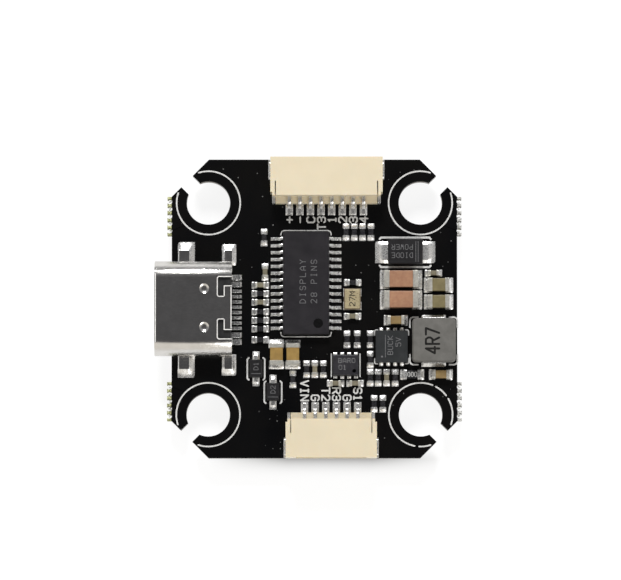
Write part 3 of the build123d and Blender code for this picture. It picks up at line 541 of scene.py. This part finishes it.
# Letters as pen strokes on a grid 4 wide and 6 high: each pair of digits is a point, and / lifts the pen.
GLYPHS = {
    "0": "10 30 41 45 36 16 05 01 10",
    "1": "15 26 20/10 30",
    "2": "05 16 36 45 44 00 40",
    "3": "05 16 36 45 44 33 13/33 42 41 30 10 01",
    "4": "30 36 02 42",
    "5": "46 06 04 34 43 41 30 10 01",
    "6": "45 36 16 05 01 10 30 41 42 33 13 02",
    "7": "06 46 10",
    "8": "13 04 05 16 36 45 44 33 13 02 01 10 30 41 42 33",
    "A": "00 04 26 44 40/02 42",
    "B": "00 06 36 45 44 33 03/33 42 41 30 00",
    "C": "45 36 16 05 01 10 30 41",
    "D": "00 06 26 44 42 20 00",
    "E": "40 00 06 46/03 33",
    "G": "45 36 16 05 01 10 30 41 43 23",
    "H": "00 06/40 46/03 43",
    "I": "10 30/20 26/16 36",
    "K": "00 06/46 03 40",
    "L": "06 00 40",
    "M": "00 06 23 46 40",
    "N": "00 06 40 46",
    "O": "10 30 41 45 36 16 05 01 10",
    "P": "00 06 36 45 44 33 03",
    "R": "00 06 36 45 44 33 03/23 40",
    "S": "45 36 16 05 04 13 33 42 41 30 10 01",
    "T": "06 46/20 26",
    "U": "06 01 10 30 41 46",
    "V": "06 20 46",
    "W": "06 10 23 30 46",
    "Y": "06 23 46/23 20",
    "+": "03 43/21 25",
    "-": "03 43",
    " ": "",
}


def write(ink, text, x, y, height, angle, width, advance, wide=1.05, flip=1):
    """Writes text centred on (x, y), turned by angle. flip of -1 mirrors it, to be read from below."""
    cell = height / 6
    turn = math.radians(angle)
    for i, letter in enumerate(text):
        left = (i - (len(text) - 1) / 2) * advance - 2 * cell * wide
        for line in GLYPHS[letter].split("/"):
            path = []
            for point in line.split():
                across = (left + int(point[0]) * cell * wide) * flip
                up = (int(point[1]) - 3) * cell
                path.append(
                    (
                        x + across * math.cos(turn) - up * math.sin(turn),
                        y + across * math.sin(turn) + up * math.cos(turn),
                    )
                )
            ink.stroke(path, width)


# ---------------------------------------------------------------- solids and feet read from the frame


def solids(node):
    """The points of each separate solid of a CAD node, in millimetres."""
    mesh = nodes[node].data
    keys = [tuple(round(c / MM, 4) for c in v.co) for v in mesh.vertices]
    leader = {key: key for key in keys}

    def root(key):
        """The point that stands for a whole solid."""
        while leader[key] != key:
            leader[key] = leader[leader[key]]
            key = leader[key]
        return key

    for edge in mesh.edges:
        leader[root(keys[edge.vertices[0]])] = root(keys[edge.vertices[1]])
    groups = {}
    for key in leader:
        groups.setdefault(root(key), []).append(key)
    return list(groups.values())


def rectangle(points):
    """The box round some points, seen from above."""
    xs = [p[0] for p in points]
    ys = [p[1] for p in points]
    return min(xs), min(ys), max(xs), max(ys)


def clusters(points, reach):
    """Groups points that lie within reach of a neighbour."""
    groups = []
    for point in points:
        near = [g for g in groups if any(math.dist(point[:2], other[:2]) <= reach for other in g)]
        groups = [g for g in groups if g not in near]
        groups.append([point] + [p for g in near for p in g])
    return groups


SLIVER = 0.02  # overlaps narrower than this are not counted


def clipped(inner, outer):
    """The part of one rectangle inside another, or None."""
    x0, y0 = max(inner[0], outer[0]), max(inner[1], outer[1])
    x1, y1 = min(inner[2], outer[2]), min(inner[3], outer[3])
    return (x0, y0, x1, y1) if x1 - x0 > SLIVER and y1 - y0 > SLIVER else None


# How far solder climbs each kind of metal foot, in millimetres.
WETTING = {
    "resistor_0402_terminals": 0.16,
    "capacitor_0402_terminals": 0.2,
    "jumper_resistor_terminals": 0.24,
    "status_led_terminals": 0.24,
    "filter_capacitor_terminals": 0.28,
    "output_capacitor_terminals": 0.32,
    "bulk_capacitor_terminals": 0.36,
    "osd_chip_leads": 0.11,
    "processor_leads": 0.11,
    "regulator_3v3_leads": 0.13,
    "schottky_diode_leads": 0.17,
    "tvs_diode_leads": 0.11,
    "buck_regulator_leads": 0.17,
    "gyro_sensor_pads": 0.09,
    "flash_memory_pads": 0.17,
    "inductor_terminals": 0.3,
    "esc_socket_contacts": 0.19,
    "vtx_socket_contacts": 0.19,
    "esc_socket_anchors": 0.3,
    "vtx_socket_anchors": 0.3,
    "usb_contacts": 0.14,
    "usb_shell": 0.28,
}
FOOT_GAP = 0.03  # a foot's points lie this near to the pads' level
FOOT_REACH = 2.2  # points of one foot lie this near to each other
SOLDER_GRID = 12
RIM_RUN = 0.25  # over this distance the solder thins out to the pad's edge
RIM_POWER = 0.6
CLIMB_POWER = 1.7  # how hollow the fillet is
BOX_CORNERS = 8  # a pad with more corners is two pads that run together
BARE_DOME = 0.07  # height of the solder on a pad that nothing stands on
DRAWN_DOWN = 0.4  # what is left of it where the feet have drawn the solder up
JOINED_FILL = 0.35  # pads that run together hold a flatter film


def feet_on(level):
    """(height the solder climbs, rectangle) of every metal foot that stands on one face's pads."""
    found = []
    for node, climb in WETTING.items():
        for solid in solids(node):
            low = [p for p in solid if abs(p[2] - level) < FOOT_GAP]
            for group in clusters(low, FOOT_REACH):
                found.append((climb, rectangle(group)))
    return found


def covers(pads, level):
    """A test of whether a point lies on one of the pads, from the triangles of their outer faces."""
    mesh = nodes[pads].data
    mesh.calc_loop_triangles()
    flat = []
    for triangle in mesh.loop_triangles:
        corners = [mesh.vertices[i].co / MM for i in triangle.vertices]
        if all(abs(c.z - level) < 0.001 for c in corners):
            flat.append([c.xy for c in corners])

    def covered(x, y):
        """Whether any pad lies under the point."""
        return any(intersect_point_tri_2d((x, y), *corners) for corners in flat)

    return covered


def wobble(x, y):
    """A slow unevenness of the solder, as a factor near 1."""
    return 1 + 0.06 * math.sin(9 * x + 5 * y) * math.cos(7 * y - 3 * x)


def solder(name, pads, outward):
    """Solder on every pad of one face: it climbs the feet there, and thins out to the pad's edge."""
    points = []
    faces = []
    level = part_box(pads)[1 if outward > 0 else 0].z / MM
    feet = feet_on(level)
    covered = covers(pads, level)
    for pad in solids(pads):
        area = rectangle(pad)
        joined = len(pad) > BOX_CORNERS
        fill = JOINED_FILL if joined else 1.0
        standing = [(climb, clipped(foot, area)) for climb, foot in feet]
        standing = [(climb, foot) for climb, foot in standing if foot]
        first = len(points)
        for j in range(SOLDER_GRID + 1):
            for i in range(SOLDER_GRID + 1):
                x = area[0] + (area[2] - area[0]) * i / SOLDER_GRID
                y = area[1] + (area[3] - area[1]) * j / SOLDER_GRID
                rim = max(0.0, min(x - area[0], area[2] - x, y - area[1], area[3] - y))
                share = DRAWN_DOWN if standing else 1.0
                height = min(1.0, rim / RIM_RUN) ** RIM_POWER * BARE_DOME * share
                for climb, foot in standing:
                    away = math.hypot(max(foot[0] - x, x - foot[2], 0), max(foot[1] - y, y - foot[3], 0))
                    share = rim / (rim + away) if rim + away > 0 else 0.0
                    height = max(height, climb * share**CLIMB_POWER)
                points.append((x, y, level + outward * height * wobble(x, y) * fill))
        row = SOLDER_GRID + 1
        for j in range(SOLDER_GRID):
            for i in range(SOLDER_GRID):
                corner = first + j * row + i
                across = (points[corner][0] + points[corner + row + 1][0]) / 2
                along = (points[corner][1] + points[corner + row + 1][1]) / 2
                if joined and not covered(across, along):
                    continue
                face = [corner, corner + 1, corner + row + 1, corner + row]
                faces.append(face if outward > 0 else face[::-1])
    new_piece(name, points, faces, tin, smooth=True)


solder("solder_joints_top", "solder_pads_top", 1)
solder("solder_joints_bottom", "solder_pads_bottom", -1)

# ---------------------------------------------------------------- print on the upper face


def place_of(node):
    """Middle of a CAD node, seen from above."""
    low, high = box_mm(node)
    return (low.x + high.x) / 2, (low.y + high.y) / 2


def middles(node, axis):
    """Middles of a node's solids in order along one axis, 0 for X or 1 for Y."""
    found = []
    for solid in solids(node):
        x0, y0, x1, y1 = rectangle(solid)
        found.append(((x0 + x1) / 2, (y0 + y1) / 2))
    return sorted(found, key=lambda place: place[axis])


# The connector's shell, from its middle line and from its mouth.
NOTCH_REACHES = (1.06, 2.05, 2.93)
NOTCH_FROM_MOUTH = 5.9
NOTCH_STEP = 6.55
SHELL_LENGTH = 7.25
FLAT_HALF = 3.2
REAR_HALF = 1.9
RIM_W = 0.09
RIM_CURL = 0.12
MOUTH_RIM = 0.1
REAR_RIM = 0.06
# The board's print.
RING_R = 3.0
RING_W = 0.14
RING_GAP = 27  # degrees each side of the slot where the board's cut corner ends the ring
WORN_CORNER = (1, -1)
WORN_RUNS = [(RING_GAP, 75), (82, 107), (113, 304), (312, 360 - RING_GAP)]  # degrees of ring left there
LINE_W = 0.15
THIN_W = 0.1
LABEL_H = 0.72
LABEL_W = 0.15
LABEL_STEP = 0.68
UPPER_LABELS = ("+", "-", "C", "T3", "1", "2", "3", "4")
UPPER_LABELS_Y = 8.4
LOWER_LABELS = ("VIN", "G", "T2", "R3", "G", "S1")
LOWER_LABELS_Y = -8.42


def hole_rings(ink):
    """A printed ring round each mounting hole, worn through in places at one corner."""
    for side, end in CORNERS:
        slot_at = math.degrees(math.atan2(end, side))
        runs = WORN_RUNS if (side, end) == WORN_CORNER else [(RING_GAP, 360 - RING_GAP)]
        for start, stop in runs:
            steps = max(4, round((stop - start) / 5))
            path = arc(side * HOLE_X, end * HOLE_Y, RING_R, slot_at + start, slot_at + stop, steps)
            ink.stroke(path, RING_W)


def corner_marks(ink, node, gap, arm_x, arm_y, width, curl):
    """Brackets with rounded bends at the four corners round a CAD node."""
    low, high = box_mm(node)
    x0, y0, x1, y1 = low.x - gap, low.y - gap, high.x + gap, high.y + gap
    for x, y, sx, sy in ((x0, y0, 1, 1), (x1, y0, -1, 1), (x0, y1, 1, -1), (x1, y1, -1, -1)):
        bend = [(x, y + sy * curl), (x + sx * curl * 0.3, y + sy * curl * 0.3), (x + sx * curl, y)]
        ink.stroke([(x, y + sy * arm_y), *bend, (x + sx * arm_x, y)], width)


def upper_print():
    """Everything printed in white on the upper face."""
    ink = Ink(TOP_Z, PRINT_T)
    hole_rings(ink)
    corner_marks(ink, "osd_chip_body", 0.17, 2.3, 0.42, THIN_W, 0.3)
    corner_marks(ink, "buck_regulator_body", 0.1, 0.3, 0.5, THIN_W, 0.12)
    corner_marks(ink, "inductor_core", 0.2, 0.75, 0.95, LINE_W, 0.3)
    diode_low, diode_high = box_mm("schottky_diode_body")
    for y, sign in ((diode_high.y + 0.2, -1), (diode_low.y - 0.2, 1)):
        x0, x1 = diode_low.x - 0.75, diode_high.x + 0.75
        bend = y + sign * 0.14
        ink.stroke([(x0, bend), (x0 + 0.12, y), (x1 - 0.12, y), (x1, bend)], LINE_W + 0.04)
    for x, y in middles("tvs_diode_bodies", 0):
        for side in (1, -1):
            outer = x + side * 0.82
            bent = outer - side * 0.14
            ends = [(bent, y + 1.04), (outer, y + 0.9), (outer, y - 0.9), (bent, y - 1.04)]
            ink.stroke(ends, LINE_W)
    baro_low, baro_high = box_mm("barometer_base")
    for x in (baro_low.x - 0.1, baro_high.x + 0.1):
        ink.stroke([(x, baro_low.y - 0.05), (x, baro_high.y + 0.1)], THIN_W)
    for (x, _), label in zip(middles("esc_socket_contacts", 0), UPPER_LABELS):
        y = UPPER_LABELS_Y - LABEL_STEP / 2 * (len(label) - 1)
        write(ink, label, x + 0.03, y, LABEL_H, 90, LABEL_W, advance=LABEL_STEP)
    for (x, _), label in zip(middles("vtx_socket_contacts", 0), LOWER_LABELS):
        y = LOWER_LABELS_Y + LABEL_STEP / 2 * (len(label) - 1)
        write(ink, label, x, y, LABEL_H, -90, LABEL_W, advance=LABEL_STEP)
    ink.piece("white_print_top", silk, "board")


def painted_rim_highlights():
    """Bright strokes of painted highlight on the shell's cut edges: round the two rear notches and along its
    mouth.
    """
    low, high = box_mm("usb_shell")
    middle = (low.y + high.y) / 2
    ink = Ink(high.z - FLUSH_SUNK, FLUSH_MARK_T)
    for side in (1, -1):
        inner, tab, outer = (middle + side * reach for reach in NOTCH_REACHES)
        front, step, rear = low.x + NOTCH_FROM_MOUTH, low.x + NOTCH_STEP, low.x + SHELL_LENGTH
        curl = RIM_CURL
        path = [(step, inner), (front + curl, inner), (front, inner + side * curl)]
        path += [(front, outer - side * curl), (front + curl, outer), (rear, outer)]
        ink.stroke(path, RIM_W)
        ink.stroke([(rear, tab), (step, tab), (step, inner + side * curl), (step, inner)], RIM_W)
    for x, reach in ((low.x + MOUTH_RIM, FLAT_HALF), (low.x + SHELL_LENGTH - REAR_RIM, REAR_HALF)):
        ink.stroke([(x, middle - reach), (x, middle + reach)], RIM_W)
    ink.piece("painted_rim_highlights", rim_highlight, "shell")


def marks_on(node):
    """Ink for the top of a CAD node, and the node's middle."""
    return Ink(box_mm(node)[1].z - SUNK, MARK_T), *place_of(node)


def chip_marks():
    """Laser marks on the chips: plain function words and pin-one guides."""
    top, x, y = marks_on("osd_chip_body")
    write(top, "DISPLAY", x - 0.31, y + 0.12, 0.54, 90, 0.055, advance=0.62, wide=0.95)
    write(top, "28 PINS", x + 0.74, y + 0.12, 0.54, 90, 0.055, advance=0.62, wide=0.95)
    top.piece("display_chip_marks", laser, "epoxy")
    # The dimple is a flat disc, darkened with painted shade for its hollow.
    dimple, x, y = marks_on("osd_chip_body")
    dimple.dot(x + 1.14, y - 3.81, 0.45)
    dimple.piece("display_chip_dimple", painted_dimple_shade, "epoxy")

    lid, x, y = marks_on("oscillator_lid")
    write(lid, "27M", x, y, 0.5, 90, 0.07, advance=0.5)
    lid.piece("crystal_marks", dark_ink, "lid_metal")

    diode, x, y = marks_on("schottky_diode_body")
    write(diode, "POWER", x - 0.3, y + 0.42, 0.46, 180, 0.05, advance=0.42, wide=0.9)
    write(diode, "DIODE", x - 0.3, y - 0.36, 0.46, 180, 0.05, advance=0.42, wide=0.9)
    for line in (0.98, 1.2):
        diode.stroke([(x + line, y - 0.95), (x + line, y + 0.95)], 0.05)
    diode.piece("power_diode_marks", laser, "epoxy")

    buck, x, y = marks_on("buck_regulator_body")
    write(buck, "BUCK", x - 0.14, y + 0.1, 0.46, 90, 0.055, advance=0.48)
    write(buck, "5V", x + 0.62, y + 0.4, 0.46, 90, 0.055, advance=0.48)
    buck.stroke([(x - 0.6, y - 1.02), (x - 0.6, y + 1.05)], 0.05)
    buck.dot(x - 0.92, y - 0.97, 0.09)
    buck.piece("regulator_marks", laser, "epoxy")

    baro, x, y = marks_on("barometer_lid")
    write(baro, "BARO", x + 0.1, y + 0.42, 0.4, 0, 0.06, advance=0.42)
    write(baro, "01", x - 0.3, y - 0.22, 0.4, 0, 0.06, advance=0.4)
    baro.piece("pressure_sensor_marks", laser, "epoxy")

    small = Ink(box_mm("tvs_diode_bodies")[1].z - SUNK, MARK_T)
    for (x, y), label in zip(middles("tvs_diode_bodies", 0), ("D1", "D2")):
        write(small, label, x, y + 0.2, 0.42, 90, 0.05, advance=0.4)
        small.stroke([(x - 0.45, y - 0.5), (x + 0.45, y - 0.5)], 0.05)
    small.piece("small_diode_marks", laser, "epoxy")

    coil, x, y = marks_on("inductor_core")
    write(coil, "4R7", x - 0.15, y - 0.1, 1.25, 90, 0.2, advance=0.88, wide=0.72)
    coil.piece("inductor_marks", dark_ink, "ferrite")

    jumper, x, y = marks_on("jumper_resistor_body")
    write(jumper, "000", x, y, 0.4, 0, 0.05, advance=0.32, wide=0.75)
    jumper.piece("jumper_marks", silk, "resistor_black")


upper_print()
painted_rim_highlights()
chip_marks()

# ---------------------------------------------------------------- vias under the mask

VIA_RADII = (0.03, 0.075)
VIA_T = 0.01
CLEAR_OF_PROCESSOR = 7  # vias nearer to the middle than this would lie under the processor
# Where they lie, mostly in the bare mask between the parts.
VIAS = [
    (-3.6, 13.3), (-5.4, 12.8), (-4.9, 10.6), (-3.9, 7.9), (-5.3, 7.1), (-5.0, 5.9), (-3.0, 9.6),
    (1.7, 8.9), (-7.6, 4.8), (-7.0, 4.6), (-5.9, 3.9), (-7.4, -3.1), (-6.9, -4.6), (-2.8, -8.6),
    (-5.2, -9.7), (-4.2, -10.4), (-3.5, -9.6), (-3.5, -10.1), (-3.5, -10.6), (-4.6, -12.9), (-3.9, -13.2),
    (-3.2, -12.6), (-3.2, -13.2), (3.9, 4.1), (5.1, 4.1), (6.3, 3.7), (5.7, 2.6), (5.4, 0.9),
    (5.9, -0.3), (4.4, 3.4), (2.1, -1.8), (1.5, -2.6), (-0.3, -3.7), (1.2, -4.3), (0.2, -4.6),
    (11.9, 7.2), (12.9, 6.4), (12.6, 4.4), (12.1, 4.0), (12.8, -7.6), (12.1, -8.3), (9.1, -12.8),
    (7.3, -11.4), (6.6, -12.2), (7.4, -9.1), (11.2, 6.1), (-11.9, -3.9), (-9.9, 4.2), (-10.6, -4.4),
    (8.1, 12.9), (7.0, 12.2), (9.4, 13.1), (-8.6, 13.2), (-7.2, 12.4), (3.4, -8.2), (8.4, -8.0),
]


def via_dots(name, places, level, down):
    """Filled vias, seen as faint pips of many sizes."""
    ink = Ink(level, VIA_T, down)
    for x, y in places:
        ink.dot(x, y, rng.uniform(*VIA_RADII), sides=10)
    ink.piece(name, tented_via, "board")


via_dots("vias_top", VIAS, TOP_Z, False)
via_dots("vias_bottom", [place for place in VIAS if max(map(abs, place)) > CLEAR_OF_PROCESSOR], 0.0, True)

# ---------------------------------------------------------------- underside print

SIDE_PADS_X = 12  # the wire pads along the sides lie beyond this
UNDER_LABEL_H = 0.8
UNDER_LABEL_W = 0.14
UNDER_LABEL_STEP = 0.7
LEFT_LABELS = ("G", "5V", "T1", "R1", "S1")
RIGHT_LABELS = ("1", "2", "3", "4", "G", "+")


def lower_print():
    """Plain labels and outlines printed on the underside."""
    ink = Ink(0.0, PRINT_T, down=True)
    for side, end in CORNERS:
        slot_at = math.degrees(math.atan2(end, side))
        path = arc(side * HOLE_X, end * HOLE_Y, RING_R, slot_at + RING_GAP, slot_at + 360 - RING_GAP, 64)
        ink.stroke(path, RING_W)
    chip_low, chip_high = box_mm("processor_body")
    corner_marks(ink, "processor_body", 0.1, 0.7, 0.7, LINE_W, 0.2)
    ink.dot(chip_low.x - 0.7, chip_high.y + 0.7, 0.2)
    pads = middles("solder_pads_bottom", 1)
    left = [(x + 1.45, y) for x, y in pads if x < -SIDE_PADS_X]
    right = [(x - 1.2, y) for x, y in pads if x > SIDE_PADS_X]
    for row, labels in ((left, LEFT_LABELS), (right, RIGHT_LABELS)):
        for (x, y), label in zip(row, labels):
            write(ink, label, x, y, UNDER_LABEL_H, 0, UNDER_LABEL_W, advance=UNDER_LABEL_STEP, flip=-1)
    ink.piece("white_print_bottom", silk, "board")


def lower_marks():
    """Laser marks on the processor."""
    ink = Ink(box_mm("processor_body")[0].z + FLUSH_SUNK, FLUSH_MARK_T, down=True)
    x, y = place_of("processor_body")
    write(ink, "PROCESSOR", x, y + 0.9, 0.75, 0, 0.08, advance=0.72, flip=-1)
    write(ink, "64 PINS", x, y - 0.6, 0.75, 0, 0.08, advance=0.72, flip=-1)
    ink.piece("processor_marks", laser, "epoxy")


lower_print()
lower_marks()

# ---------------------------------------------------------------- torn fibre on the snapped tabs

TAB_MIDDLE = 8.75
TAB_HALF = 1.65
TUFTS = 60


def fibre_tufts():
    """Short glass fibres that stand out of the snapped tabs, within the tabs' reach."""
    points = []
    faces = []
    for side, end in CORNERS:
        for _ in range(TUFTS):
            y = end * TAB_MIDDLE + rng.uniform(-TAB_HALF, TAB_HALF)
            z = rng.uniform(0.15, TOP_Z - 0.1)
            root = side * (HALF_X + rng.uniform(0.0, 0.2))
            tip = side * (HALF_X + rng.uniform(0.25, TAB_REACH - 0.01))
            thick = rng.uniform(0.015, 0.04)
            lean = rng.uniform(-0.12, 0.12)
            rise = rng.uniform(-0.06, 0.06)
            first = len(points)
            points += [(root, y - thick, z - thick), (root, y + thick, z - thick), (root, y, z + thick)]
            points.append((tip, y + lean, z + rise))
            faces += [[first + i for i in face] for face in ((0, 1, 3), (1, 2, 3), (2, 0, 3), (2, 1, 0))]
    new_piece("torn_fibres", points, faces, fibre_tuft)


fibre_tufts()

# ---------------------------------------------------------------- floor, light and camera


def glowing_table():
    """A lit white table top, with a soft warm shade painted into it along the board's lower edge."""
    made = Surface("glowing_table")
    position = made.node("ShaderNodeSeparateXYZ")
    made.feed(position.inputs[0], made.place)
    edge = cad_low.y
    across = made.math("ABSOLUTE", made.math("SUBTRACT", position.outputs["X"], 1.5 * MM))
    # The painted shade lies within 2 mm of the edge, and fades out before the board's corners.
    soft = made.spread(position.outputs["Y"], edge - 2.2 * MM, edge, 0.0, 1.0)
    ended = made.spread(position.outputs["Y"], edge + 0.1 * MM, edge + 2.1 * MM, 1.0, 0.0)
    deepest = made.spread(across, 4 * MM, 11.5 * MM, 0.55, 0.0)
    soft = made.math("MULTIPLY", made.math("POWER", soft, 3.0), deepest)
    painted_shade = made.math("MULTIPLY", soft, ended)
    # The painted shade darkens both the table's glow and its colour.
    glow = made.mix(painted_shade, (1.0, 1.0, 1.0), (0.02, 0.012, 0.004))
    made.set(
        base_color=made.mix(painted_shade, (0.18, 0.18, 0.18), (0.02, 0.018, 0.015)),
        roughness=0.75,
        specular_ior_level=0.1,
        emission_color=glow,
        emission_strength=GLOW,
    )
    return made.material


FLOOR_HALF = 1.5  # metres
FLOOR_GAP = 0.02
GLOW = 0.87


def pale_floor():
    """A plain lit floor just under the lowest part."""
    mesh = bpy.data.meshes.new("floor")
    level = cad_low.z - FLOOR_GAP * MM
    corners = ((-1, -1), (1, -1), (1, 1), (-1, 1))
    mesh.from_pydata([(x * FLOOR_HALF, y * FLOOR_HALF, level) for x, y in corners], [], [(0, 1, 2, 3)])
    mesh.materials.append(glowing_table())
    floor = bpy.data.objects.new("floor", mesh)
    bpy.context.scene.collection.objects.link(floor)


def studio_sky():
    """A studio round the board: white at the horizon, pale on one side, grey on the other, dark overhead."""
    world = bpy.data.worlds.new("studio")
    bpy.context.scene.world = world
    world.use_nodes = True
    tree = world.node_tree
    back = tree.nodes["Background"]
    direction = tree.nodes.new("ShaderNodeSeparateXYZ")
    tree.links.new(tree.nodes.new("ShaderNodeTexCoord").outputs["Generated"], direction.inputs[0])

    def ranged(output, values):
        """Maps a range of values onto another: from low, from high, to low, to high."""
        made = tree.nodes.new("ShaderNodeMapRange")
        tree.links.new(output, made.inputs[0])
        for socket, value in zip(made.inputs[1:5], values):
            socket.default_value = value
        return made.outputs[0]

    def mixed(amount, first, second):
        """Blends two colours."""
        made = tree.nodes.new("ShaderNodeMix")
        made.data_type = "RGBA"
        tree.links.new(amount, made.inputs["Factor"])
        for socket, value in ((made.inputs["A"], first), (made.inputs["B"], second)):
            if isinstance(value, tuple):
                socket.default_value = (*value, 1.0)
            else:
                tree.links.new(value, socket)
        return made.outputs["Result"]

    behind = ranged(direction.outputs["Y"], (-0.12, 0.12, 0.0, 1.0))
    sides = mixed(behind, (0.92, 0.88, 0.82), (0.30, 0.30, 0.31))
    near_horizon = ranged(direction.outputs["Z"], (0.25, 0.1, 0.0, 1.0))
    low = mixed(near_horizon, sides, (1.0, 1.0, 1.0))
    overhead = ranged(direction.outputs["Z"], (0.84, 0.92, 0.0, 1.0))
    sky = mixed(overhead, low, (0.085, 0.085, 0.09))
    tree.links.new(sky, back.inputs["Color"])
    back.inputs["Strength"].default_value = 1.0


def softbox(name, place, size, power):
    """A square area light aimed at the board."""
    light = bpy.data.lights.new(name, "AREA")
    light.size = size
    light.energy = power
    lamp = bpy.data.objects.new(name, light)
    bpy.context.scene.collection.objects.link(lamp)
    lamp.location = place
    lamp.rotation_mode = "QUATERNION"
    lamp.rotation_quaternion = Vector(place).to_track_quat("Z", "Y")


CAMERA_DISTANCE = 0.5
CAMERA_TILT = 86.0
AIM = Vector((-0.37, 1.76, 1.6)) * MM
FRAME_WIDTH = 58.53 * MM


def overhead_camera():
    """A long lens nearly straight above, tipped a little towards the six-way socket."""
    data = bpy.data.cameras.new("camera")
    camera = bpy.data.objects.new("camera", data)
    bpy.context.scene.collection.objects.link(camera)
    tilt = math.radians(CAMERA_TILT)
    back = Vector((0, -math.cos(tilt), math.sin(tilt)))
    camera.location = AIM + back * CAMERA_DISTANCE
    camera.rotation_mode = "QUATERNION"
    camera.rotation_quaternion = back.to_track_quat("Z", "Y")
    data.sensor_width = 36.0
    data.lens = data.sensor_width * CAMERA_DISTANCE / FRAME_WIDTH
    data.clip_start = 0.01
    bpy.context.scene.camera = camera


pale_floor()
studio_sky()
softbox("key", (-0.04, 0.46, 0.5), 0.16, 3.6)
softbox("fill", (0.25, -0.35, 0.45), 0.3, 1.0)
overhead_camera()
bpy.context.scene.view_settings.view_transform = "Standard"
